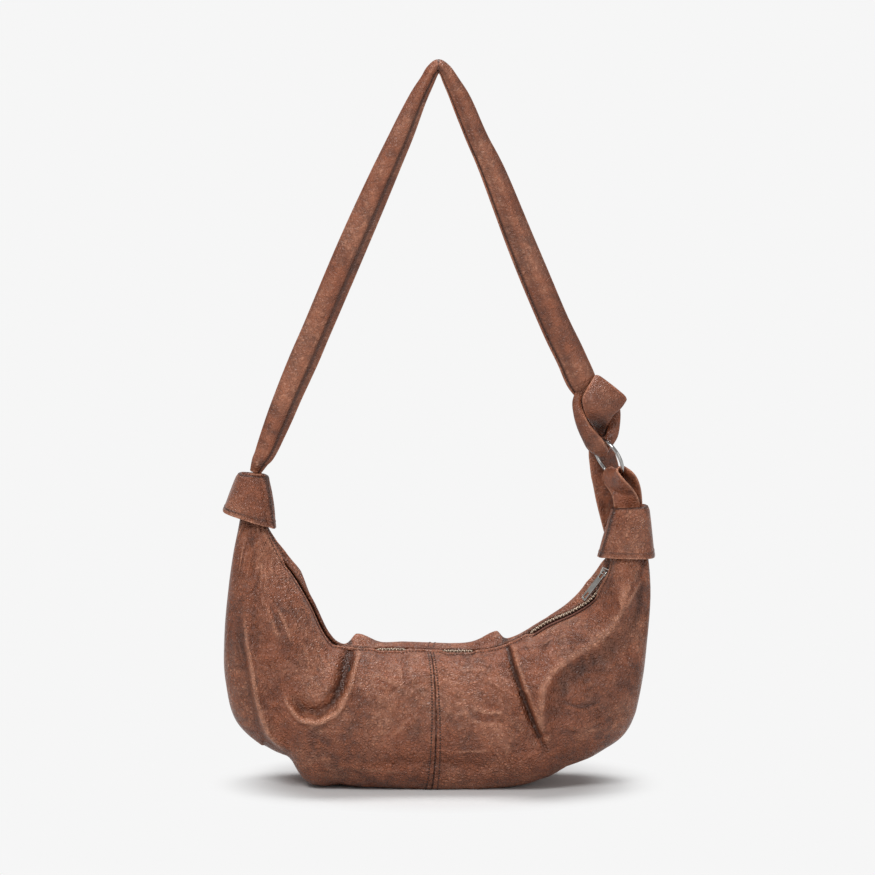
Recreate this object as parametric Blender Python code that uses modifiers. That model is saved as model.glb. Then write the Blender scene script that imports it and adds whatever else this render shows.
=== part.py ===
"""A crescent shoulder bag of soft leather: two-panel body, zip, turned-down cuffs, ring and knotted strap.

Metres, +Z up. The viewer looks along +Y. The origin is on the floor under the middle of the bag.
"""

import math

import bmesh
import bpy
from mathutils import Matrix, Vector

# Driving sizes of the bag's body
bag_width = 0.430
bag_depth = 0.120
leather = 0.0016
seam_half_gap = 0.0003
seam_bow = 0.007
shoulder_rise = 0.020
pucker_height = 0.012
pucker_half_width = 0.011
lobe_height = 0.008
lobe_radius = 0.033
lobe_softness = 0.018
fold_height = 0.008
fold_softness = 0.014
fold_reach = 0.070
lining_thickness = 0.0006
lining_clearance = 0.0016
floor_level = 0.0
lining_follow_share = 0.75
foot_fullness_share = 0.38
droop_share = 0.20
widest_share = 1.02

# Stations along the crescent, from the left horn to the right one: the zip line's x and z and the
# outer seam's x and z, as shares of the bag's width, and the half depth as a share of half the depth
CRESCENT_SHARES = [
    (-0.414, 0.705, -0.449, 0.705, 0.17),
    (-0.405, 0.612, -0.465, 0.612, 0.22),
    (-0.372, 0.542, -0.479, 0.542, 0.37),
    (-0.333, 0.491, -0.491, 0.456, 0.57),
    (-0.295, 0.426, -0.500, 0.353, 0.77),
    (-0.260, 0.353, -0.498, 0.247, 0.90),
    (-0.226, 0.323, -0.465, 0.140, 0.97),
    (-0.163, 0.317, -0.349, 0.056, 1.00),
    (-0.093, 0.317, -0.195, -0.009, 1.00),
    (-0.021, 0.314, -0.023, -0.014, 0.97),
    (0.051, 0.313, 0.116, -0.014, 0.97),
    (0.121, 0.316, 0.214, -0.005, 1.00),
    (0.186, 0.340, 0.307, 0.037, 1.00),
    (0.251, 0.381, 0.386, 0.084, 0.95),
    (0.312, 0.409, 0.442, 0.140, 0.85),
    (0.360, 0.442, 0.474, 0.233, 0.70),
    (0.395, 0.493, 0.488, 0.344, 0.55),
    (0.405, 0.530, 0.495, 0.442, 0.42),
    (0.409, 0.563, 0.491, 0.521, 0.30),
    (0.416, 0.595, 0.481, 0.572, 0.23),
    (0.421, 0.623, 0.472, 0.609, 0.20),
]
# How far the back panel's shoulder stands above the zip at each station
RISE_SHARES = [0, 0.15, 0.5, 0.5, 0.2, 0.05, 0, 0, 0, 0, 0, 0, 0.1, 0.3, 0.7, 1.0, 0.85, 0.4, 0.15, 0, 0]
LAST_STATION = len(CRESCENT_SHARES) - 1
SEAM_STATION = 9
LEFT_STEPS = 16
RIGHT_STEPS = 20
SECTION_STEPS = 11
LINING_FIRST, LINING_LAST = 2, 18

# Places on the panels, as shares of the bag's width: x and z
LOBE_LOW_SHARES = (-0.284, 0.226)
LOBE_HIGH_SHARES = (-0.260, 0.349)
FOLD_TOP_SHARES = (0.160, 0.321)
FOLD_FOOT_SHARES = (0.247, 0.093)
PUCKER_SHARES = (-0.184, 0.139)

# The zip
zip_half_opening = 0.005
tape_depth = 0.0031
tape_thickness = 0.0008
tape_reach_share = 0.09
teeth_pitch = 0.0050
tooth_share = 0.40
tooth_reach = 0.0009
teeth_root = 0.0022
teeth_back = 0.0034
teeth_top = 0.0012
teeth_height = 0.0028
fit_gap = 0.00035
ZIP_FIRST, ZIP_LAST = 1.2, 16.45

# The slider and its pull
slider_length = 0.012
slider_width = 0.0092
plate_thickness = 0.0013
wedge_length = 0.0035
wedge_width = 0.0036
bridge_length = 0.0070
bridge_width = 0.0018
bridge_wall = 0.0011
bridge_opening = 0.0060
slider_gap = 0.0008
pull_length = 0.036
pull_width = 0.0080
pull_thickness = 0.0014
pull_bar = 0.0018
pull_slot_width = 0.0042
pull_slot_length = 0.0075
pull_rest_lift = math.radians(13.0)
pull_tilt = math.radians(30.0)

# The strap, its knot and its tail
strap_width = 0.030
strap_thickness = 0.0095
strap_root_width = 0.012
root_taper_share = 0.7
overall_height = 0.735
tail_width = 0.019
tail_thickness = 0.0045

# The ring and the leather loop that holds it
ring_radius_share = 0.70
ring_radius = ring_radius_share * strap_width
ring_wire_radius = 0.0020
ring_turn = math.radians(60.0)
ring_lean = math.radians(61.3)
ring_clearance = 0.0006
loop_width = 0.023
loop_thickness = 0.0062
loop_base_width = 0.026
loop_base_thickness = 0.0100
loop_foot_lift = 0.0015
loop_foot_taper_share = 0.42
loop_skive_share = 0.70
loop_hip_share = 1.25
loop_hip_drop_share = 0.6
loop_shoulder_share = 0.85

# The cuffs
cuff_thickness = 0.0022
left_cuff_top_half = 0.0115
left_cuff_hem_half = 0.0263
right_cuff_top_half = 0.0170
right_cuff_hem_half = 0.0270
cuff_top_half_depth = 0.0112
cuff_hem_half_depth = 0.0200
cuff_roll = 0.0020
cuff_yaw = math.radians(12.0)
cuff_turn_shares = (0.6, 0.3)
cuff_corner_power = 0.62
cuff_flare_power = 0.85
rim_share = 0.6
stub_corner_power = 0.6
root_thin_share = 0.42
loop_stub_share = 0.8
left_mouth_shares = (1.5, 0.72)
right_mouth_shares = (0.53, 0.68)
left_cuff_leans = (math.radians(-5.0), math.radians(-18.0))
right_cuff_leans = (math.radians(3.0), math.radians(-1.0))


def smooth(x):
    """0 below 0, 1 above 1, and an easy curve between."""
    x = min(1.0, max(0.0, x))
    return x * x * (3.0 - 2.0 * x)


def through(rows, s):
    """A smooth curve through rows of values, at place s counted in rows."""
    i = min(len(rows) - 2, max(0, int(math.floor(s))))
    f = s - i
    a, b = rows[max(0, i - 1)], rows[i]
    c, d = rows[i + 1], rows[min(len(rows) - 1, i + 2)]
    out = []
    for p, q, r, t in zip(a, b, c, d):
        bend = 2 * p - 5 * q + 4 * r - t
        turn = 3 * q - p - 3 * r + t
        out.append((2 * q + (r - p) * f + bend * f**2 + turn * f**3) / 2)
    return out


def shares_to_place(shares, y=0.0):
    return Vector((shares[0] * bag_width, y, shares[1] * bag_width))


def new_material(name, colour, rough, metal):
    mat = bpy.data.materials.new(name)
    mat.use_nodes = True
    bsdf = mat.node_tree.nodes["Principled BSDF"]
    bsdf.inputs["Base Color"].default_value = (*colour, 1.0)
    bsdf.inputs["Roughness"].default_value = rough
    bsdf.inputs["Metallic"].default_value = metal
    return mat


def new_collection(name):
    collection = bpy.data.collections.new(name)
    bpy.context.scene.collection.children.link(collection)
    return collection


def add_object(name, mesh, look, collection):
    """An object of this mesh with a material of its own."""
    obj = bpy.data.objects.new(name, mesh)
    if look:
        mesh.materials.append(new_material(name, *look))
    collection.objects.link(obj)
    return obj


def grid_mesh(name, rows, ring=False, caps=False, flip=False):
    """A surface through rows of points; ring closes each row, caps closes both ends."""
    bm = bmesh.new()
    grid = [[bm.verts.new(p) for p in row] for row in rows]
    wide = len(grid[0])
    for a, b in zip(grid, grid[1:]):
        for j in range(wide if ring else wide - 1):
            k = (j + 1) % wide
            bm.faces.new((a[j], a[k], b[k], b[j]))
    if caps:
        bm.faces.new(list(reversed(grid[0])))
        bm.faces.new(grid[-1])
    if flip:
        bmesh.ops.reverse_faces(bm, faces=bm.faces)
    if caps:
        bmesh.ops.recalc_face_normals(bm, faces=bm.faces)
    mesh = bpy.data.meshes.new(name)
    bm.to_mesh(mesh)
    bm.free()
    mesh.shade_smooth()
    mesh.set_sharp_from_angle(angle=math.radians(40.0))
    return mesh


def thicken(obj, thickness):
    mod = obj.modifiers.new("wall", "SOLIDIFY")
    mod.thickness = thickness
    mod.offset = -1.0
    return mod


def boolean(obj, other, operation):
    mod = obj.modifiers.new(operation.lower(), "BOOLEAN")
    mod.operation = operation
    mod.solver = "EXACT"
    mod.object = other


def cutter(name, mesh, cutters):
    obj = add_object(name, mesh, None, cutters)
    obj.hide_render = True
    obj.display_type = "WIRE"
    return obj


# The crescent body


def station(s):
    """The zip point, the outer seam point and the half depth at station s."""
    zx, zz, ox, oz, depth_share = through(CRESCENT_SHARES, s)
    top = Vector((zx * bag_width, 0.0, zz * bag_width))
    foot = Vector((ox * bag_width, 0.0, oz * bag_width))
    return top, foot, depth_share * bag_depth / 2


def front_relief(x, z):
    """How far the pleats lift the panel off its plain form, at x and z."""
    low, high = shares_to_place(LOBE_LOW_SHARES), shares_to_place(LOBE_HIGH_SHARES)
    spot = Vector((x, 0.0, z))
    along = max(0.0, min(1.0, (spot - low).dot(high - low) / (high - low).length_squared))
    away = (spot - low.lerp(high, along)).length
    lobe = lobe_height * smooth((lobe_radius + lobe_softness / 2 - away) / lobe_softness)
    head, foot = shares_to_place(FOLD_TOP_SHARES), shares_to_place(FOLD_FOOT_SHARES)
    run = (foot - head).normalized()
    side = (spot - head).dot(Vector((-run.z, 0.0, run.x)))
    beyond = max(0.0, (spot - foot).dot(run))
    fold = fold_height * smooth(side / fold_softness) * math.exp(-((side / fold_reach) ** 2))
    return lobe + fold * math.exp(-((beyond / fold_softness) ** 2))


def back_rise(s, x, phi):
    """How far the back panel's shoulder stands above the zip line."""
    i = min(LAST_STATION - 1, int(s))
    rise = shoulder_rise * (RISE_SHARES[i] + (RISE_SHARES[i + 1] - RISE_SHARES[i]) * (s - i))
    for share in PUCKER_SHARES:
        rise += pucker_height * math.exp(-(((x - share * bag_width) / pucker_half_width) ** 2))
    return rise * math.exp(-(((phi - 0.6) / 0.38) ** 2)) * smooth(phi / 0.3)


def section_point(s, phi, side, inset=0.0):
    """A point of the front (side -1) or back (1) panel; phi runs from the zip, 0, to the outer seam, pi."""
    top, foot, half = station(s)
    down = (foot - top).normalized()
    reach = (foot - top).length - 2 * inset
    w = inset + reach * (1 - math.cos(phi)) / 2
    power = 1.0 - foot_fullness_share * smooth(phi / math.pi)
    bulge = max(0.0, math.sin(phi)) ** power * (1 - droop_share * math.cos(phi)) / widest_share
    edge = zip_half_opening + (seam_half_gap - zip_half_opening) * phi / math.pi
    u = edge + (half - inset - zip_half_opening) * bulge
    x, z = top.x + down.x * w, top.z + down.z * w
    u += front_relief(x, z) * smooth(phi / 0.5) * smooth((math.pi - phi) / 0.7)
    x += seam_bow * math.sin(phi) * math.exp(-(((s - SEAM_STATION) / 1.5) ** 2))
    if side > 0:
        lift = back_rise(s, x, phi) * (lining_follow_share if inset else 1.0)
        x, z = x - down.x * lift, z - down.z * lift
    return Vector((x, side * u, max(z, floor_level + inset)))


def station_steps():
    left = [SEAM_STATION * i / LEFT_STEPS for i in range(LEFT_STEPS + 1)]
    right_span = LAST_STATION - SEAM_STATION
    return left, [SEAM_STATION + right_span * i / RIGHT_STEPS for i in range(RIGHT_STEPS + 1)]


def make_panels(collection):
    left, right = station_steps()
    look = ((0.26, 0.11, 0.065), 0.5, 0.0)
    for side, face in ((-1, "front"), (1, "back")):
        for places, half_name in ((left, "left"), (right, "right")):
            name = f"{face}_panel_{half_name}"
            rows = []
            for s in places:
                phis = [math.pi * j / SECTION_STEPS for j in range(SECTION_STEPS + 1)]
                row = [section_point(s, phi, side) for phi in phis]
                if s == SEAM_STATION:
                    nudge = seam_half_gap if half_name == "right" else -seam_half_gap
                    row = [p + Vector((nudge, 0.0, 0.0)) for p in row]
                rows.append(row)
            obj = add_object(name, grid_mesh(name, rows, flip=side > 0), look, collection)
            thicken(obj, leather)


def make_lining(collection):
    left, right = station_steps()
    inset = leather + lining_clearance
    for side, face in ((-1, "front"), (1, "back")):
        name = f"lining_{face}"
        rows = []
        for s in left + right[1:]:
            if LINING_FIRST <= s <= LINING_LAST:
                phis = [math.pi * j / SECTION_STEPS for j in range(2, SECTION_STEPS + 1)]
                rows.append([section_point(s, phi, side, inset) for phi in phis])
        look = ((0.05, 0.04, 0.035), 0.8, 0.0)
        obj = add_object(name, grid_mesh(name, rows, flip=side > 0), look, collection)
        thicken(obj, lining_thickness)


# The zip


def zip_line():
    """Places along the zip with their length from its left end."""
    steps = 400
    out, length = [], 0.0
    before = station(ZIP_FIRST)[0]
    for i in range(steps + 1):
        s = ZIP_FIRST + (ZIP_LAST - ZIP_FIRST) * i / steps
        here = station(s)[0]
        length += (here - before).length
        out.append((length, s))
        before = here
    return out


ZIP_LINE = zip_line()
zip_length = ZIP_LINE[-1][0]


def zip_frame(length):
    """The zip's place, its direction to the right and its direction into the bag, at this length."""
    low = 0
    while low < len(ZIP_LINE) - 2 and ZIP_LINE[low + 1][0] < length:
        low += 1
    (l0, s0), (l1, s1) = ZIP_LINE[low], ZIP_LINE[low + 1]
    s = s0 + (s1 - s0) * (length - l0) / (l1 - l0)
    tiny = 0.02
    a, b = station(s - tiny)[0], station(s + tiny)[0]
    run = (b - a).normalized()
    return station(s)[0], run, Vector((run.z, 0.0, -run.x)), station(s)[2]


def zip_place(length, across, depth):
    here, _, inward, _ = zip_frame(length)
    return here + inward * depth + Vector((0.0, across, 0.0))


def make_tapes(collection):
    steps = 64
    for side, face in ((-1, "front"), (1, "back")):
        rows = []
        for i in range(steps + 1):
            length = zip_length * i / steps
            half = zip_frame(length)[3]
            outer = zip_half_opening + tape_reach_share * (half - zip_half_opening)
            rows.append(
                [
                    zip_place(length, side * across, depth)
                    for across, depth in (
                        (teeth_back + fit_gap, tape_depth),
                        (outer, tape_depth),
                        (outer, tape_depth + tape_thickness),
                        (teeth_back + fit_gap, tape_depth + tape_thickness),
                    )
                ]
            )
        mesh = grid_mesh(f"zip_tape_{face}", rows, ring=True, caps=True)
        add_object(f"zip_tape_{face}", mesh, ((0.10, 0.05, 0.035), 0.85, 0.0), collection)


def make_teeth(collection):
    """Each row is one comb: a bead with teeth that reach across the middle and mesh with the other row."""
    last = slider_centre_length() - teeth_pitch / 2
    count = int(last / teeth_pitch)
    tooth = tooth_share * teeth_pitch
    for side, face in ((-1, "front"), (1, "back")):
        shift = teeth_pitch / 2 if side > 0 else 0.0
        bounds = []
        for i in range(count):
            start = teeth_pitch * i + shift
            bounds += [(start, True), (start + tooth, False)]
        bounds.append((teeth_pitch * count + shift, False))
        bm = bmesh.new()
        lines = []
        for length, _ in bounds:
            line = []
            for across in (teeth_back, teeth_root, -tooth_reach):
                for depth in (teeth_top, teeth_top + teeth_height):
                    line.append(bm.verts.new(zip_place(length, side * across, depth)))
            lines.append(line)
        for i, (a, b) in enumerate(zip(lines, lines[1:])):
            is_tooth = bounds[i][1]
            bm.faces.new((a[0], b[0], b[1], a[1]))
            bm.faces.new((a[0], a[2], b[2], b[0]))
            bm.faces.new((a[1], b[1], b[3], a[3]))
            if is_tooth:
                bm.faces.new((a[2], a[4], b[4], b[2]))
                bm.faces.new((a[3], b[3], b[5], a[5]))
                bm.faces.new((a[4], a[5], b[5], b[4]))
                bm.faces.new((a[2], a[3], a[5], a[4]))
                bm.faces.new((b[2], b[4], b[5], b[3]))
            else:
                bm.faces.new((a[2], a[3], b[3], b[2]))
        bm.faces.new((lines[0][0], lines[0][1], lines[0][3], lines[0][2]))
        bm.faces.new((lines[-1][0], lines[-1][2], lines[-1][3], lines[-1][1]))
        loose = [v for v in bm.verts if not v.link_faces]
        bmesh.ops.delete(bm, geom=loose, context="VERTS")
        bmesh.ops.recalc_face_normals(bm, faces=bm.faces)
        mesh = bpy.data.meshes.new(f"zip_teeth_{face}")
        bm.to_mesh(mesh)
        bm.free()
        add_object(f"zip_teeth_{face}", mesh, ((0.35, 0.30, 0.25), 0.35, 1.0), collection)


def slider_centre_length():
    return zip_length - slider_length / 2 - fit_gap


def slider_frame():
    """A matrix whose X runs along the zip to the right, Y to the back and Z out of the bag."""
    here, run, inward, _ = zip_frame(slider_centre_length())
    matrix = Matrix((run, Vector((0.0, 1.0, 0.0)), -inward)).transposed().to_4x4()
    return Matrix.Translation(here) @ matrix


def box_mesh(name, low, high):
    bm = bmesh.new()
    bmesh.ops.create_cube(bm, size=1.0)
    size = Vector(high) - Vector(low)
    bmesh.ops.scale(bm, vec=size, verts=bm.verts)
    bmesh.ops.translate(bm, vec=(Vector(high) + Vector(low)) / 2, verts=bm.verts)
    mesh = bpy.data.meshes.new(name)
    bm.to_mesh(mesh)
    bm.free()
    return mesh


def bridge_pin_height():
    """The height of the pull's bar above the zip line."""
    return -teeth_top + slider_gap + plate_thickness + bridge_opening / 2


def make_slider(collection, cutters):
    frame = slider_frame()
    metal = ((0.45, 0.42, 0.38), 0.3, 1.0)
    half_l, half_w = slider_length / 2, slider_width / 2
    top_low = -teeth_top + slider_gap
    top_high = top_low + plate_thickness
    foot_high = -teeth_top - teeth_height - slider_gap
    foot_low = foot_high - plate_thickness
    lap = plate_thickness / 3
    body = box_mesh("zip_slider", (-half_l, -half_w, top_low), (half_l, half_w, top_high))
    slider = add_object("zip_slider", body, metal, collection)
    pieces = {
        "slider_foot": ((-half_l, -half_w, foot_low), (half_l, half_w, foot_high)),
        "slider_wedge": (
            (half_l - wedge_length, -wedge_width / 2, foot_high - lap),
            (half_l - lap, wedge_width / 2, top_low + lap),
        ),
        "slider_bridge": (
            (-bridge_length / 2, -bridge_width / 2, top_high - lap),
            (bridge_length / 2, bridge_width / 2, top_high + bridge_opening + bridge_wall),
        ),
    }
    for name, (low, high) in pieces.items():
        piece = cutter(name, box_mesh(name, low, high), cutters)
        piece.matrix_world = frame
        boolean(slider, piece, "UNION")
    inner = bridge_length / 2 - bridge_wall
    low, high = (-inner, -bridge_width, top_high), (inner, bridge_width, top_high + bridge_opening)
    hole = cutter("bridge_window", box_mesh("bridge_window", low, high), cutters)
    hole.matrix_world = frame
    boolean(slider, hole, "DIFFERENCE")
    slider.matrix_world = frame
    make_pull(frame, metal, collection, cutters)


def make_pull(frame, metal, collection, cutters):
    """A flat pull with a slot at each end; its end bar lies in the slider's bridge."""
    half_w, half_t = pull_width / 2, pull_thickness / 2
    mesh = box_mesh("zip_pull", (-pull_length, -half_w, -half_t), (pull_bar / 2, half_w, half_t))
    pull = add_object("zip_pull", mesh, metal, collection)
    place = frame @ Matrix.Translation((0.0, 0.0, bridge_pin_height()))
    place = place @ Matrix.Rotation(pull_rest_lift, 4, "Y") @ Matrix.Rotation(pull_tilt, 4, "X")
    near = -pull_bar / 2
    far = -pull_length + pull_bar
    half_slot = pull_slot_width / 2
    slots = (("pull_slot_near", near - pull_slot_length, near), ("pull_slot_far", far, far + pull_slot_length))
    for name, low, high in slots:
        box = box_mesh(name, (low, -half_slot, -pull_width), (high, half_slot, pull_width))
        slot = cutter(name, box, cutters)
        slot.matrix_world = place
        boolean(pull, slot, "DIFFERENCE")
    pull.matrix_world = place


def make_bottom_stop(collection):
    """The stop that joins both rows at the zip's left end."""
    rows = []
    for length in (-2 * fit_gap - teeth_pitch, -2 * fit_gap):
        ends = []
        for across, depth in ((-1, 0), (1, 0), (1, 1), (-1, 1)):
            ends.append(zip_place(max(length, 0.0), across * teeth_back, teeth_top + depth * teeth_height))
        _, run, _, _ = zip_frame(0.0)
        rows.append([p + run * min(length, 0.0) for p in ends])
    mesh = grid_mesh("zip_bottom_stop", rows, ring=True, caps=True)
    add_object("zip_bottom_stop", mesh, ((0.35, 0.30, 0.25), 0.35, 1.0), collection)


# Swept leather: strap, knot, tail, loop


def sweep_rows(centres, across, half_widths, half_thicks, sides=12, square=2.6, end_steps=3):
    """Sections along a path. across gives each section's width direction; the ends are rounded."""
    count = len(centres)
    runs = []
    for i in range(count):
        a, b = centres[max(0, i - 1)], centres[min(count - 1, i + 1)]
        runs.append((b - a).normalized())
    stops = []
    for k in range(end_steps):
        angle = math.pi / 2 * (1 - (k + 0.5) / end_steps)
        stops.append((0, -math.sin(angle), math.cos(angle)))
    stops += [(i, 0.0, 1.0) for i in range(count)]
    for k in range(end_steps):
        angle = math.pi / 2 * (k + 0.5) / end_steps
        stops.append((count - 1, math.sin(angle), math.cos(angle)))
    rows = []
    for i, out, thin in stops:
        run = runs[i]
        wide = (across[i] - run * across[i].dot(run)).normalized()
        thick = run.cross(wide)
        centre = centres[i] + run * out * half_thicks[i]
        half_w = half_widths[i] - half_thicks[i] * (1 - thin) / 2
        row = []
        for j in range(sides):
            a = 2 * math.pi * (j + 0.5) / sides
            c, s = math.cos(a), math.sin(a)
            row.append(
                centre
                + wide * half_w * math.copysign(abs(c) ** (2 / square), c)
                + thick * half_thicks[i] * thin * math.copysign(abs(s) ** (2 / square), s)
            )
        rows.append(row)
    return rows


def smooth_path(points, steps):
    """A finer run of values through a few chosen ones."""
    return [through(points, (len(points) - 1) * i / steps) for i in range(steps + 1)]


# The strap's arms, from each foot, 0, to the top bend, 1, across and up, and the share of its full width
LEFT_ARM_SHARES = [
    (0.0000, 0.0000, 0.4000),
    (0.0212, 0.0173, 0.5700),
    (0.0519, 0.0406, 0.7000),
    (0.1061, 0.1000, 0.8300),
    (0.1863, 0.1881, 0.9300),
    (0.2736, 0.2780, 0.9700),
    (0.3585, 0.3661, 0.9700),
    (0.5259, 0.5441, 1.0000),
    (0.6934, 0.7222, 0.9700),
    (0.7807, 0.8103, 0.9000),
    (0.8703, 0.9002, 0.7300),
    (0.9292, 0.9541, 0.5700),
    (0.9599, 0.9874, 0.4500),
]
RIGHT_ARM_SHARES = [
    (-0.0000, 0.0000, 1.0000),
    (0.0785, 0.0781, 1.0000),
    (0.1994, 0.1906, 1.0000),
    (0.4139, 0.4179, 0.9700),
    (0.6163, 0.6452, 0.8300),
    (0.7341, 0.7577, 0.7300),
    (0.8429, 0.8726, 0.6700),
    (0.9094, 0.9414, 0.5700),
    (0.9486, 0.9839, 0.4500),
]
TOP_BEND_SHARES = (0.9915, 0.38)
LEFT_FOOT_SHARES = (-0.424, 0.7442)
RIGHT_FOOT_SHARES = (0.443, 0.6649)
STRAP_END_SHARES = (-1.6053, 0.0, 4.0915)


def swing_line():
    """Where the strap's two feet turn, in the mouths of the cuffs."""
    return shares_to_place(LEFT_FOOT_SHARES), shares_to_place(RIGHT_FOOT_SHARES)


def knot_place(x_share, y_share, z_share):
    """A place round the knot and the ring, from the right foot, in strap widths."""
    return swing_line()[1] + Vector((x_share, y_share, z_share)) * strap_width


def strap_line():
    """The strap's x, z and width from its left foot over the top bend to the knot."""
    top = Vector((0.0, 0.0, TOP_BEND_SHARES[0] * overall_height))
    arms = ((swing_line()[0], LEFT_ARM_SHARES), (knot_place(*STRAP_END_SHARES), RIGHT_ARM_SHARES))
    lines = []
    for foot, shares in arms:
        span = top - foot
        line = [(foot.x + span.x * x, foot.z + span.z * z, wide * strap_width) for x, z, wide in shares]
        lines.append(line)
    return lines[0] + [(top.x, top.z, TOP_BEND_SHARES[1] * strap_width)] + lines[1][::-1]


def strap_sweep(name, spare, end_steps=3):
    """The strap's two arms; spare grows it all round for cutting its neighbours."""
    rows = smooth_path(strap_line(), 50)
    centres = [Vector((x, 0.0, z)) for x, z, _ in rows]
    across = []
    for i in range(len(centres)):
        run = centres[min(len(centres) - 1, i + 1)] - centres[max(0, i - 1)]
        across.append(Vector((0.0, 1.0, 0.0)).cross(run.normalized()))
    half_w = [wide / 2 + spare for _, _, wide in rows]
    half_t = [strap_thickness / 2 + spare for _ in rows]
    half_t[0] *= root_taper_share
    half_w[0] *= root_taper_share
    rows = sweep_rows(centres, across, half_w, half_t, 10, 2.6, end_steps)
    return grid_mesh(name, rows, ring=True, caps=True)


# Round the knot: x, y and z from the right foot, then half width and half thickness, in strap widths
KNOT_CORE_SHARES = [
    (-1.3760, -0.0500, 3.9445, 0.4200, 0.2400),
    (-1.0177, -0.1000, 3.4300, 0.6200, 0.4000),
    (-0.9890, -0.1000, 2.9155, 0.5800, 0.4200),
    (-1.1037, -0.0800, 2.4010, 0.4000, 0.3200),
]
KNOT_OUTER_SHARES = [
    (-1.6197, 0.1000, 3.5280, 0.2000, 0.2200),
    (-1.6627, -0.0500, 2.9155, 0.2600, 0.2200),
    (-1.4477, -0.2000, 2.3520, 0.3000, 0.2200),
    (-1.0750, -0.2200, 1.9600, 0.2600, 0.2000),
    (-0.7597, 0.0000, 1.9355, 0.2200, 0.2000),
    (-0.5303, 0.2500, 2.3275, 0.2200, 0.2200),
    (-0.4443, 0.3000, 2.8665, 0.2200, 0.2400),
    (-0.6880, 0.1500, 3.3320, 0.2400, 0.2400),
]
KNOT_TIP_SHARES = [
    (-0.9747, -0.2500, 3.5280, 0.4000, 0.1600),
    (-0.5447, -0.2500, 3.3320, 0.3000, 0.1500),
    (-0.2150, -0.2200, 3.1850, 0.1700, 0.1200),
]
TAIL_SHARES = [
    (-1.2470, 0.2400, 2.6705),
    (-1.2040, 0.4200, 2.3520),
    (-1.1323, 0.6800, 2.0335),
    (-1.0463, 0.8000, 1.6415),
    (-0.9460, 0.8200, 0.8820),
    (-0.7740, 0.8200, 0.0735),
    (-0.5303, 0.8000, -0.9065),
]


def knot_part(name, table, steps, sides=10):
    rows = smooth_path(table, steps)
    centres = [knot_place(*r[:3]) for r in rows]
    across = []
    for i in range(len(centres)):
        run = centres[min(len(centres) - 1, i + 1)] - centres[max(0, i - 1)]
        across.append(Vector((0.0, 1.0, 0.0)).cross(run.normalized()))
    half_w = [r[3] * strap_width for r in rows]
    half_t = [r[4] * strap_width for r in rows]
    return grid_mesh(name, sweep_rows(centres, across, half_w, half_t, sides, 2.4, 2), ring=True, caps=True)


def tail_mesh(name, spare):
    rows = smooth_path(TAIL_SHARES, 12)
    centres = [knot_place(*r) for r in rows]
    across = [Vector((1.0, 0.35, 0.0)) for _ in rows]
    half_w = [tail_width / 2 + spare for _ in rows]
    half_t = [tail_thickness / 2 + spare for _ in rows]
    return grid_mesh(name, sweep_rows(centres, across, half_w, half_t, 10, 2.6, 2), ring=True, caps=True)


# The ring's middle from the right foot, in strap widths
RING_CENTRE_SHARES = (-0.6808, 0.0, 1.4822)


def ring_axes():
    """The ring's centre, its long direction as seen, the direction across it, and its own axis."""
    centre = knot_place(*RING_CENTRE_SHARES)
    down = Vector((math.cos(ring_lean), 0.0, -math.sin(ring_lean)))
    level = Vector((math.sin(ring_lean), 0.0, math.cos(ring_lean)))
    across = level * math.cos(ring_turn) + Vector((0.0, -math.sin(ring_turn), 0.0))
    return centre, down, across, down.cross(across)


def torus_mesh(name, minor, rounds=36, sides=8):
    centre, down, across, axis = ring_axes()
    rows = []
    for i in range(rounds):
        a = 2 * math.pi * i / rounds
        out = down * math.cos(a) + across * math.sin(a)
        row = []
        for j in range(sides):
            b = 2 * math.pi * j / sides
            row.append(centre + out * (ring_radius + minor * math.cos(b)) + axis * minor * math.sin(b))
        rows.append(row)
    bm = bmesh.new()
    grid = [[bm.verts.new(p) for p in row] for row in rows]
    for i in range(rounds):
        a, b = grid[i], grid[(i + 1) % rounds]
        for j in range(sides):
            k = (j + 1) % sides
            bm.faces.new((a[j], a[k], b[k], b[j]))
    bmesh.ops.recalc_face_normals(bm, faces=bm.faces)
    mesh = bpy.data.meshes.new(name)
    bm.to_mesh(mesh)
    bm.free()
    mesh.shade_smooth()
    return mesh


# What the strap turns on in the cuffs' mouths


def loop_rows():
    """The loop's band: up the front leg, over the ring's wire and down the back leg."""
    centre, down, across, axis = ring_axes()
    wire = centre + down * ring_radius
    left, foot = swing_line()
    along = (foot - left).normalized()
    lift = Vector((-along.z, 0.0, along.x)) * loop_foot_lift
    out = ring_wire_radius + ring_clearance + fit_gap + loop_thickness / 2
    hip = out * loop_hip_share
    skived = loop_thickness / 2 * loop_skive_share
    aside = Vector((0.0, -skived - fit_gap, 0.0))
    near, far = foot + lift + aside, foot + lift - aside
    points = [
        near,
        near.lerp(wire + axis * hip, 0.5),
        wire + axis * hip + down * out * loop_hip_drop_share,
        wire + axis * out * loop_shoulder_share - down * out / 2,
        wire - down * out,
        wire - axis * out * loop_shoulder_share - down * out / 2,
        wire - axis * hip + down * out * loop_hip_drop_share,
        far.lerp(wire - axis * hip, 0.5),
        far,
    ]
    path = [Vector(p) for p in smooth_path([tuple(p) for p in points], 24)]
    half_w = []
    for i in range(len(path)):
        share = abs(2 * i / (len(path) - 1) - 1)
        half_w.append(loop_width / 2 * (1.0 - loop_foot_taper_share * smooth((share - 0.6) / 0.4)))
    half_t = []
    widths = []
    for i in range(len(path)):
        share = abs(2 * i / (len(path) - 1) - 1)
        half_t.append(loop_thickness / 2 + (skived - loop_thickness / 2) * smooth((share - 0.6) / 0.35))
        widths.append(across.lerp(along, smooth((share - 0.12) / 0.38)))
    return sweep_rows(path, widths, half_w, half_t, 10, 2.6, 1)


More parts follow.
